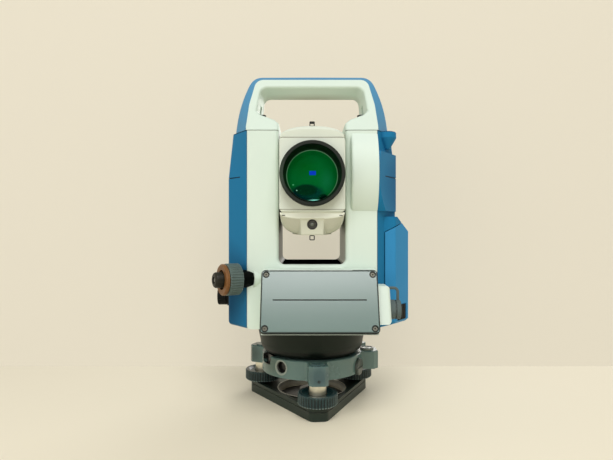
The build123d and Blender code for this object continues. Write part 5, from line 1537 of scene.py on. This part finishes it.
@dataclass
class Handle(SubAssembly):
    """Carrying handle: white grip, blue band over it and the two screws."""

    foot: float = 278.3
    outer_foot: float = 77.7
    outer_pull: tuple[float, float] = (75.0, 303.0)
    outer_bend: tuple[float, float] = (65.6, 326.5)
    outer_corner: tuple[float, float] = (61.2, 337.7)
    outer_top: float = 51.5
    inner_foot: float = 65.65
    inner_knee: tuple[float, float] = (63.4, 306.0)
    inner_bend: tuple[float, float] = (58.75, 327.6)
    inner_corner: tuple[float, float] = (57.2, 334.8)
    inner_top: float = 49.9
    foot_depth: float = 44.6
    top_depth: float = 20.0
    foot_bevel: float = 1.4
    edge_round: float = 2.6
    crown: float = 0.2
    leg_steps: int = 8
    corner_steps: int = 7

    def stations(self) -> list[tuple[Vector, Vector]]:
        """Outline of the band on the right half.

        Returns:
            Pairs of an outer and an inner point, as distance from the middle and height, from the foot up.
        """
        made = []
        outer_start, inner_start = (self.outer_foot, self.foot), (self.inner_foot, self.foot)
        outer_end = (self.outer_top, self.outer_corner[1])
        inner_end = (self.inner_top, self.inner_corner[1])
        knee = self.inner_knee
        for step in range(self.leg_steps + 1):
            outer = bow(outer_start, self.outer_pull, self.outer_bend, step / self.leg_steps)
            share = (outer.y - self.foot) / (self.outer_bend[1] - self.foot)
            height = self.foot + share * (self.inner_bend[1] - self.foot)
            low, high = (inner_start, knee) if height < knee[1] else (knee, self.inner_bend)
            part = (height - low[1]) / (high[1] - low[1])
            made.append((outer, Vector(low).lerp(Vector(high), part)))
        for step in range(1, self.corner_steps + 1):
            share = step / self.corner_steps
            outer = bow(self.outer_bend, self.outer_corner, outer_end, share)
            made.append((outer, bow(self.inner_bend, self.inner_corner, inner_end, share)))
        made.append((Vector((0, self.outer_corner[1] + self.crown)), Vector((0, self.inner_corner[1]))))
        return made

    def section(self, outer: Vector, inner: Vector, side: int) -> list[Vector]:
        """Section of the band: bevelled at the front and the rear, with rounded outer edges.

        Args:
            outer: Outer point of the outline.
            inner: Inner point of the outline.
            side: 1 on the right, -1 on the left.

        Returns:
            The ring of points in millimetres.
        """
        share = (inner.y - self.foot) / (self.inner_corner[1] - self.foot)
        inner_depth = self.foot_depth + (self.top_depth - self.foot_depth) * share
        bevel = self.foot_bevel * max(0.0, 1 - share) ** 1.5 + 0.05
        outer_depth = inner_depth - bevel * (outer - inner).length
        root = Vector((side * inner.x, -inner_depth, inner.y))
        edge = Vector((side * outer.x, -outer_depth, outer.y))
        near = edge + (root - edge).normalized() * min(self.edge_round, (root - edge).length * 0.4)
        far = edge + Vector((0, self.edge_round, 0))
        half = [root, near, bow(near, edge, far, 0.5), far]
        return half + [Vector((p.x, -p.y, p.z)) for p in reversed(half)]

    def build(self) -> None:
        """Draw the band from foot to foot."""
        stations = self.stations()
        sections = [self.section(outer, inner, 1) for outer, inner in stations]
        sections += [self.section(outer, inner, -1) for outer, inner in reversed(stations[:-1])]
        band = BENCH.drawn("handle_band_arch", sections)
        # The band's blue is a lighter copy of the covers' blue: painted light where the band faces up to
        # the lamps.
        blue = Moulded("blue_band_painted_light", srgb(84, 144, 182), dust_share=0.03, shine=0.12)
        BENCH.done(band, "alidade", blue, 40.0)
        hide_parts("handle_band")

    def dress(self) -> None:
        """Finish the grip, with painted shade under it, and the screws."""
        # Painted shade on the grip's underside.
        under = Patch((0, 24, 322), (70, 30, 16), srgb(150, 140, 112), 0.8, 0.6)
        grip = Moulded("white_grip", srgb(214, 229, 216), shine=0.2, marks=(under,))
        paint(grip, "handle_grip")
        paint(Blackened("black_screw", srgb(10, 11, 11)), "handle_screws")


@dataclass
class Keyboard(SubAssembly):
    """Operator's panel on the rear: window, keys and their symbols."""

    origin: Triple = (-6.7, 73.516, 112.566)
    normal: Triple = (0, PANEL_OUT, PANEL_RISE)
    up: Triple = (0, -PANEL_RISE, PANEL_OUT)
    key_top: float = 5.5
    ink: float = 0.12
    sunk: float = 0.06
    column: float = 38.0
    cursor_y: float = 2.5
    arrow_circle: float = 6.4
    arrow_radius: float = 1.35
    power_y: float = 20.0
    enter_y: float = -17.5
    soft_x: float = -14.0
    soft_y: float = -19.0
    soft_pitch: float = 16.5
    soft_count: int = 4
    soft_bar: tuple[float, float] = (5.0, 0.8)
    power_ring: tuple[float, float] = (2.2, 1.7)
    power_bar: tuple[float, float] = (0.55, 2.2)
    window_half: tuple[float, float] = (29.5, 14.0)

    def spot(self, x: float, y: float, turn: float = 0.0) -> Matrix:
        """Place on the tops of the keys.

        Args:
            x: Distance to the right of the panel's middle, in millimetres.
            y: Distance up the slope from it, in millimetres.
            turn: Turn on the panel, in degrees.

        Returns:
            Place and turn of a symbol's foot, in millimetres.
        """
        up, out = Vector(self.up), Vector(self.normal)
        across = up.cross(out)
        foot = Vector(self.origin) + across * x + up * y + out * (self.key_top - self.sunk)
        turned = Matrix((across, up, out)).transposed().to_4x4()
        return Matrix.Translation(foot) @ turned @ Matrix.Rotation(math.radians(turn), 4, "Z")

    def soft_keys(self) -> list[str]:
        """Names of the soft keys from the left, which their nodes and their bodies share."""
        return [f"soft_key_{number}" for number in range(1, self.soft_count + 1)]

    def bar(self, name: str, wide: float, high: float, x: float, y: float) -> bpy.types.Object:
        """Make one short printed bar, with its middle so far right and up from the panel's middle."""
        place = self.spot(x, y) @ Matrix.Translation(Vector((0, 0, self.ink / 2)))
        return BENCH.block(name, (wide, high, self.ink), place)

    def build(self) -> None:
        """Add the symbols on the keys."""
        ink = Moulded("key_ink", srgb(36, 40, 44), Gloss.MATT, 0.02)
        pad = self.spot(self.column, self.cursor_y)
        up = self.spot(self.column, self.cursor_y + self.arrow_circle)
        arrows = [BENCH.prism("arrow_0", self.arrow_radius, self.ink, 3, up)]
        for turn in (90, 180, 270):
            about = pad @ Matrix.Rotation(math.radians(turn), 4, "Z") @ pad.inverted()
            arrows.append(BENCH.copied(arrows[0], f"arrow_{turn}", about))
        BENCH.done(BENCH.joined("cursor_arrows", arrows), "cursor_pad", ink)
        low = self.enter_y - 0.9
        corner = [
            self.bar("enter_bar", 5.4, 0.7, self.column + 0.6, low),
            self.bar("enter_stem", 0.7, 2.6, self.column + 3.0, self.enter_y + 0.2),
            BENCH.prism("enter_tip", 1.3, self.ink, 3, self.spot(self.column - 2.6, low, 90)),
        ]
        BENCH.done(BENCH.joined("enter_symbol", corner), "enter_key", ink)
        first, *others = self.soft_keys()
        left = self.soft_x - (self.soft_count - 1) / 2 * self.soft_pitch
        bars = [self.bar(f"{first}_bar", *self.soft_bar, left, self.soft_y)]
        for number, key in enumerate(others, 1):
            across = Vector(self.up).cross(Vector(self.normal)) * (number * self.soft_pitch)
            bars.append(BENCH.copied(bars[0], f"{key}_bar", Matrix.Translation(across)))
        for key, bar in zip(self.soft_keys(), bars):
            BENCH.done(bar, key, ink)
        foot = self.spot(self.column, self.power_y)
        power = [
            BENCH.ring("power_ring", *self.power_ring, self.ink, foot.translation, self.normal),
            self.bar("power_bar", *self.power_bar, self.column, self.power_y + 1.5),
        ]
        white = Moulded("white_print", srgb(222, 224, 218), Gloss.MATT, 0.02)
        BENCH.done(BENCH.joined("power_symbol", power), "power_key", white)

    def dress(self) -> None:
        """Finish the panel, the window and the keys."""
        plate = Moulded("keyboard_grey", srgb(136, 150, 150), grain=0.07, dust_share=0.3)
        paint(plate, "keyboard_plate")
        keys = Moulded("key_grey", srgb(206, 210, 206), Gloss.MATT)
        paint(keys, *self.soft_keys(), "cursor_pad", "enter_key")
        red = Moulded("power_key_red", srgb(176, 58, 48), Gloss.MATT)
        paint(red, "power_key")
        low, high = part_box("display_window")
        middle = tuple((low + high) / 2 / MM)
        pane = ClearPane(
            "display_glass",
            srgb(150, 160, 138),
            border=srgb(30, 34, 34),
            centre=middle,
            half=self.window_half,
            up=self.up,
        )
        paint(pane, "display_window")


@dataclass
class Plummet(SubAssembly):
    """Optical plummet at the lower left of the front."""

    origin: Triple = (-72.2, -47.4, 131.5)
    way: Triple = (-0.866025, -0.5, 0)
    end: float = 25.5
    lens_size: Triple = (3.2, 0.4, 0.9)
    lens_sunk: float = 1.7
    tube_colour: Colour = srgb(4, 7, 6)

    def build(self) -> None:
        """Add the eyepiece lens."""
        back = Vector(self.origin) + Vector(self.way) * (self.end - self.lens_sunk)
        glass = ClearPane("plummet_glass", srgb(20, 26, 30))
        lens = BENCH.lens("plummet_lens", *self.lens_size, back, self.way)
        BENCH.done(lens, "plummet_eyepiece", glass)

    def dress(self) -> None:
        """Finish the tube, the rings and the eyepiece."""
        paint(Blackened("plummet_black", self.tube_colour, 0.32, 0.12, 0.06), "plummet_tube")
        paint(RIBBED_PLASTIC, "plummet_focus_ring")
        # The ring's face is dimmed as painted shade, and its lighter edges are a painted highlight and
        # wear.
        orange = Moulded(
            "orange_ring",
            srgb(118, 78, 40),
            dust_share=0.3,
            edge_wear_and_highlight=0.8,
            edge_wear_and_highlight_colour=srgb(206, 150, 84),
            shine=0.3,
        )
        paint(orange, "plummet_trim_ring")
        # Lighter edges: partly wear, partly a painted highlight.
        brown = Moulded(
            "eyepiece_brown",
            srgb(30, 28, 20),
            grain=0.08,
            dust_share=0.05,
            edge_wear_and_highlight=0.6,
            shine=0.25,
        )
        paint(brown, "plummet_eyepiece")


@dataclass
class Telescope(SubAssembly):
    """Tilting telescope with its optics, sights and eyepiece."""

    bore: float = 26.4
    well: float = 27.6
    inner_lens_size: Triple = (25.2, 2.0, 2.0)
    inner_lens_y: float = -49.6
    gleam_y: float = -44.0
    gleam_deep: float = 40.0
    prism_size: Triple = (6.4, 0.6, 4.0)
    prism_spot: Triple = (0.4, -53.55, 2.3)
    eyepiece_end: float = 82.5
    cup_size: Triple = (12.3, 10.1, 2.0)
    eye_lens_size: Triple = (7.4, 0.8, 1.2)
    eye_lens_sunk: float = 6.6
    cap_root: float = 36.0
    cap_rear: float = 34.0
    cap_front: float = -61.0
    shell_steps: int = 36
    crown_half: tuple[float, float] = (31.3, 12.0)
    crown_power: float = 2.3
    crown_front: tuple[tuple[float, float], ...] = ((-53.0, 0.0), (-56.5, 0.9), (-59.3, 2.4), (-60.9, 4.4))
    belly_half: tuple[float, float] = (31.1, 21.8)
    belly_power: float = 2.8
    belly_lip: float = 5.8
    belly_run: float = 12.0
    belly_steps: int = 8
    nose_sections: tuple[tuple[float, ...], ...] = (
        (-36.0, 20.5, 19.5, 39.0, 56.9),
        (-59.3, 11.8, 10.6, 40.0, 57.8),
        (-60.0, 11.0, 9.8, 40.8, 57.0),
    )
    window_drop: float = 47.6
    window_size: tuple[float, float] = (5.0, 7.0)
    sleeve_size: Triple = (4.9, 3.7, 2.4)
    bead_size: Triple = (2.3, 0.6, 1.0)
    light_depth: float = 3.0
    slot_x: float = 27.5
    seam_lines_and_shadow: tuple[float, float, float, float] = (-33.7, -33.0, 34.6, 36.0)

    def build(self) -> None:
        """Add the optics behind the objective, the two caps, the guide light and the eyepiece's end."""
        # The inner lens glows and carries painted reflections.
        inner = DeepGlass("inner_lens_painted_glow", srgb(96, 132, 100), 0.75, self.painted_gleams())
        back = (0, self.inner_lens_y, AXIS_HEIGHT)
        disc = BENCH.lens("inner_lens", *self.inner_lens_size, back, (0, -1, 0))
        BENCH.done(disc, "telescope", inner)
        # Glowing blue face that stands in for the blue reflection in the objective: a painted reflection.
        prism = DeepGlass("prism_painted_reflection", srgb(10, 38, 196), 0.9, drift=0.5)
        place = Matrix.Translation(Vector(self.prism_spot) + Vector((0, 0, AXIS_HEIGHT)))
        face = BENCH.block("prism_face", self.prism_size, place)
        BENCH.done(face, "telescope", prism)
        self.build_top_cap()
        self.build_bottom_cap()
        self.build_guide_light()
        self.build_eyepiece()

    def painted_gleams(self) -> tuple[Patch, ...]:
        """Painted reflections in the objective: a bright rim, the green field, dark and teal reflections
        and highlight dots.

        Returns:
            The patches, from the lowest to the highest layer.
        """
        field_half = self.inner_lens_size[0] * 0.98
        rows = (
            (-9, 9, 16, 14, srgb(0, 74, 8), 0.9),
            (14, -6, 9, 14, srgb(12, 92, 54), 0.9),
            (-5, -17.0, 20, 9.5, srgb(0, 30, 36), 0.35),
            (-6, -14.0, 13, 6.5, srgb(0, 1, 1), 0.3),
            (11, -21.0, 6, 4, srgb(0, 4, 6), 0.4),
            (2.5, -24.0, 7, 1.1, srgb(150, 226, 218), 0.6),
            (-18.5, -9, 1.1, 0.6, srgb(120, 200, 150), 0.6),
            (-15, -14.5, 0.7, 0.7, srgb(190, 235, 215), 0.5),
        )
        middle = (0, self.gleam_y, AXIS_HEIGHT)
        made = [Patch(middle, (field_half, 4 * self.gleam_deep, field_half), srgb(0, 82, 30), 0.02)]
        for x, rise, wide, high, colour, soft in rows:
            spot = (x, self.gleam_y, AXIS_HEIGHT + rise)
            made.append(Patch(spot, (wide, self.gleam_deep, high), colour, soft))
        return tuple(made)

    def window_spot(self, depth: float) -> Triple:
        """Point on the axis of the nose's window, so far behind the nose's front."""
        return (0, self.nose_sections[-1][0] + depth, AXIS_HEIGHT - self.window_drop)

    def shell(self, y: float, half: float, rise: float, root: float, power: float) -> list[Vector]:
        """Section of a cap on the telescope: flat where it joins the body, rounded away from it.

        Args:
            y: Place along the telescope, in millimetres.
            half: Half of its width, in millimetres.
            rise: Height of the round above the root, below zero for a cap that hangs.
            root: Height of the joint over the axis, in millimetres.
            power: 2 for half an ellipse, more for fuller corners.

        Returns:
            The ring of points in millimetres.
        """
        foot = AXIS_HEIGHT + root
        step = math.copysign(0.05, rise)
        ring = []
        for number in range(self.shell_steps + 1):
            angle = math.pi * number / self.shell_steps
            x = half * math.copysign(abs(math.cos(angle)) ** (2 / power), math.cos(angle))
            z = foot + step + rise * max(0.0, math.sin(angle)) ** (2 / power)
            ring.append(Vector((x, y, z)))
        return [Vector((half, y, foot)), *ring, Vector((-half, y, foot))]

    def build_top_cap(self) -> None:
        """Draw the arched cap on the telescope, with its rounded front edge."""
        half, rise = self.crown_half
        root, power = self.cap_root, self.crown_power
        sections = [
            self.shell(self.cap_rear, half - 1, rise - 1.5, root, power),
            self.shell(self.cap_rear - 1.2, half, rise, root, power),
        ]
        for y, less in self.crown_front:
            sections.append(self.shell(y, half - less * 0.2, rise - less, root, power))
        cap = BENCH.drawn("telescope_crown", sections)
        cream = Moulded("cream_cap", srgb(224, 230, 214), shine=0.25)
        BENCH.done(cap, "telescope", cream, 24.0)
        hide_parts("telescope_top_cap")

    def build_bottom_cap(self) -> None:
        """Draw the full cap under the telescope, and join its nose with the round window."""
        half, deep = self.belly_half
        root, lip, power = -self.cap_root, self.belly_lip, self.belly_power
        front, height = self.cap_front, AXIS_HEIGHT
        sections = [
            self.shell(self.cap_rear, half - 1.5, 2 - deep, root, power),
            self.shell(self.cap_rear - 1.5, half, -deep, root, power),
        ]
        for number in range(self.belly_steps, -1, -1):
            share = number / self.belly_steps
            depth = lip + (deep - lip) * math.sin(share * math.pi / 2)
            sections.append(self.shell(front + self.belly_run * share, half, -depth, root, power))
        sections.append(self.shell(front - 0.4, half - 0.6, 0.6 - lip, root, power))
        cap = BENCH.drawn("telescope_belly", sections)
        nose = []
        for y, wide, narrow, high, low in self.nose_sections:
            corners = ((wide, high), (narrow, low), (-narrow, low), (-wide, high))
            nose.append([Vector((x, y, height - z)) for x, z in corners])
        BENCH.combine(cap, BENCH.drawn("telescope_nose", nose), Merge.JOIN)
        window = BENCH.turned("telescope_window", *self.window_size, self.window_spot(-2), (0, 1, 0))
        BENCH.combine(cap, window, Merge.CUT)
        slots = [
            Groove((x - 1.6, -63, height - 39.4), (x + 1.6, -58, height - 38.5))
            for x in (-self.slot_x, self.slot_x)
        ]
        # Painted light on the cap: its cream is lighter than the body's for the lit lip, with painted shade
        # over the belly and on the nose's front.
        shade = Groove((-40, -60.8, height - 60), (40, 40, height - 37), srgb(186, 186, 164), 0.8)
        face = Groove((-11.6, -63, height - 60), (11.6, -59.2, height - 41.6), srgb(214, 216, 196), 0.9)
        cream = Moulded("cream_belly_painted_light", srgb(240, 244, 230), shine=0.25, marks=(shade, face, *slots))
        BENCH.done(cap, "telescope", cream, 22.0)
        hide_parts("telescope_bottom_cap")

    def build_guide_light(self) -> None:
        """Add the sleeve and the small lens in the window of the nose."""
        middle = self.window_spot(self.light_depth)
        sleeve = BENCH.ring("guide_sleeve", *self.sleeve_size, middle, (0, -1, 0), 0.3)
        black = Blackened("guide_black", srgb(20, 21, 20), 0.4)
        BENCH.done(sleeve, "telescope", black)
        bead = BENCH.lens("guide_bead", *self.bead_size, middle, (0, -1, 0))
        glass = ClearPane("guide_bead_glass", srgb(92, 98, 86))
        BENCH.done(bead, "telescope", glass)

    def build_eyepiece(self) -> None:
        """Add the rubber cup and the lens of the eyepiece."""
        end = (0, self.eyepiece_end, AXIS_HEIGHT)
        cup = BENCH.ring("eyepiece_cup", *self.cup_size, end, (0, 1, 0), 0.7)
        BENCH.done(cup, "telescope_eyepiece", Rubber("eyepiece_rubber"))
        back = (0, self.eyepiece_end - self.eye_lens_sunk, AXIS_HEIGHT)
        lens = BENCH.lens("eyepiece_lens", *self.eye_lens_size, back, (0, 1, 0))
        glass = ClearPane("eyepiece_glass", srgb(26, 24, 44))
        BENCH.done(lens, "telescope_eyepiece", glass)

    def dress(self) -> None:
        """Finish the telescope."""
        low_start, low_end, start, end = (AXIS_HEIGHT + rise for rise in self.seam_lines_and_shadow)
        # Dark seam lines at both caps; the upper one is also a painted shadow under the cap's overhanging
        # edge.
        marks = (
            Groove.girdle(start, end, srgb(124, 118, 98), 0.75),
            Groove.girdle(low_start, low_end, srgb(110, 104, 84), 0.75),
            Patch((0, 0, AXIS_HEIGHT), (self.bore, 1000, self.bore), srgb(6, 7, 6), 0.01),
        )
        cream = Moulded("cream_paint", srgb(226, 233, 219), shine=0.2, marks=marks)
        paint(cream, "telescope_body")
        well = Patch((0, 0, AXIS_HEIGHT), (self.well, 1000, self.well), srgb(2, 2, 2), 0.01)
        # Painted highlight on the left of the ring's face.
        painted_light = Patch((-30, -74, AXIS_HEIGHT), (9, 20, 24), srgb(46, 62, 50), 0.7, 0.8)
        black = Blackened("objective_black", srgb(16, 24, 20), 0.5, 0.02, 0.3, (painted_light, well))
        paint(black, "objective_ring")
        paint(Blackened("sight_black", srgb(14, 15, 15), 0.5), "peep_sights")
        paint(CoatedLens("objective_coating"), "objective_lens")
        paint(ClearPane("guide_glass", srgb(46, 48, 42)), "guide_light_lens")
        paint(RIBBED_PLASTIC, "focus_ring")
        paint(BLACK_PLASTIC, "telescope_eyepiece")


@dataclass
class MotionKnobs(SubAssembly):
    """Clamps and fine-motion knobs on the left and the rear."""

    nodes: tuple[str, ...] = (
        "vertical_clamp",
        "vertical_tangent_knob",
        "horizontal_clamp",
        "horizontal_tangent_knob",
    )

    def dress(self) -> None:
        """Finish the knobs."""
        paint(BLACK_PLASTIC, *self.nodes)


@dataclass(frozen=True)
class Lamp:
    """One soft square lamp of the studio, in metres and watts."""

    name: str
    place: Triple
    size: float
    power: float
    target: Triple = (0, 0, 0.17)

    def hang(self) -> None:
        """Hang the lamp so that it shines on the object."""
        data = bpy.data.lights.new(self.name, "AREA")
        data.shape = "SQUARE"
        data.size = self.size
        data.energy = self.power
        lamp = bpy.data.objects.new(self.name, data)
        bpy.context.scene.collection.objects.link(lamp)
        lamp.location = self.place
        way = Vector(self.target) - Vector(self.place)
        lamp.rotation_euler = way.to_track_quat("-Z", "Y").to_euler()


@dataclass
class Studio:
    """Floor, backdrop, lamps and camera, with the room in metres and the camera in millimetres."""

    camera_place: Triple = (-5.5, -548.0, 179.6)
    focal_pixels: float = 510.0
    sensor: float = 36.0
    wall: Colour = srgb(231, 223, 203)
    ground: Colour = srgb(243, 233, 208)
    plane_size: float = 8.0
    wall_y: float = 0.125
    wall_even: float = 0.6
    room_light: float = 0.4
    far: tuple[float, float] = (0.6, 1.6)
    lamps: tuple[Lamp, ...] = (
        Lamp("front_lamp", (0.15, -1.27, 1.68), 1.2, 22.5),
        Lamp("left_lamp", (-1.1, -1.2, 0.6), 0.8, 4.0),
        Lamp("back_lamp", (0.6, 1.4, 0.9), 1.0, 9.0),
    )

    def floor(self) -> None:
        """Lay a pale floor under the object that runs out into the tone of the room."""
        BENCH.clear()
        bpy.ops.mesh.primitive_plane_add(size=self.plane_size, location=(0, 0, 0))
        ground = bpy.context.object
        ground.name = "studio_floor"
        sheet = NodeSheet("pale_floor")
        soft = sheet.clouds(3.0, 3.0)
        tone = sheet.blend(soft * 0.3, self.ground, dimmed(self.ground, 0.95))
        near = sheet.shader("BsdfPrincipled", Base_Color=tone, Roughness=0.85)
        room = sheet.shader("Emission", Color=self.wall)
        start, end = self.far
        away = ((sheet.reach((0, 0, 0)) - start) / (end - start)).held()
        ground.data.materials.append(sheet.close(sheet.mixed(away, near, room)))

    def backdrop(self) -> None:
        """Stand a pale wall close behind the object, which only the camera sees and only from its front."""
        BENCH.clear()
        bpy.ops.mesh.primitive_plane_add(
            size=self.plane_size,
            location=(0, self.wall_y, 0),
            rotation=(math.radians(90), 0, 0),
        )
        back = bpy.context.object
        back.name = "studio_wall"
        sheet = NodeSheet("pale_wall")
        soft = sheet.clouds(2.0, 2.0)
        tone = sheet.blend(soft * 0.3, self.wall, dimmed(self.wall, 0.97))
        plaster = sheet.shader("BsdfPrincipled", Base_Color=tone, Roughness=0.9)
        lit = sheet.mixed(self.wall_even, plaster, sheet.shader("Emission", Color=self.wall))
        clear = sheet.shader("BsdfTransparent")
        path = sheet.node("ShaderNodeLightPath")
        side = sheet.node("ShaderNodeNewGeometry")
        front = 1.0 - Signal(sheet, side.outputs["Backfacing"])
        seen = Signal(sheet, path.outputs["Is Camera Ray"]) * front
        back.data.materials.append(sheet.close(sheet.mixed(seen, clear, lit)))

    def world(self) -> None:
        """Light the room evenly, and show a pale room to the camera, in gloss and through glass."""
        sheet = NodeSheet("studio", room=True)
        path = sheet.node("ShaderNodeLightPath")
        light = sheet.shader("Background", Color=(1.0, 1.0, 0.98), Strength=self.room_light)
        seen = sheet.shader("Background", Color=self.wall, Strength=1.0)
        share = Signal(sheet, path.outputs["Is Camera Ray"])
        for ray in ("Is Glossy Ray", "Is Transmission Ray"):
            share = share.most(path.outputs[ray])
        bpy.context.scene.world = sheet.close(sheet.mixed(share, light, seen))

    def camera(self) -> None:
        """Set the camera where the photo was taken from."""
        data = bpy.data.cameras.new("camera")
        data.sensor_fit = "HORIZONTAL"
        data.sensor_width = self.sensor
        data.lens = self.focal_pixels / IMAGE_WIDTH * self.sensor
        data.clip_start = 0.01
        camera = bpy.data.objects.new("camera", data)
        bpy.context.scene.collection.objects.link(camera)
        camera.location = Vector(self.camera_place) * MM
        camera.rotation_euler = (math.radians(90), 0, 0)
        bpy.context.scene.camera = camera

    def build(self) -> None:
        """Set up the whole studio."""
        bpy.context.scene.view_settings.view_transform = "Standard"
        self.floor()
        self.backdrop()
        self.world()
        for lamp in self.lamps:
            lamp.hang()
        self.camera()


def main() -> None:
    """Set up the studio, then dress and build the sub-assemblies in order, and log each one as it is
    finished.
    """
    logging.basicConfig(level=logging.INFO, format="%(name)s: %(message)s")
    Studio().build()
    for kind in (Tribrach, LowerBase, Alidade, Handle, Keyboard, Plummet, Telescope, MotionKnobs):
        part = kind()
        part.dress()
        part.build()
        LOG.info("finished %s", type(part).__name__)
    Bench.clear()


if __name__ == "__main__":
    main()
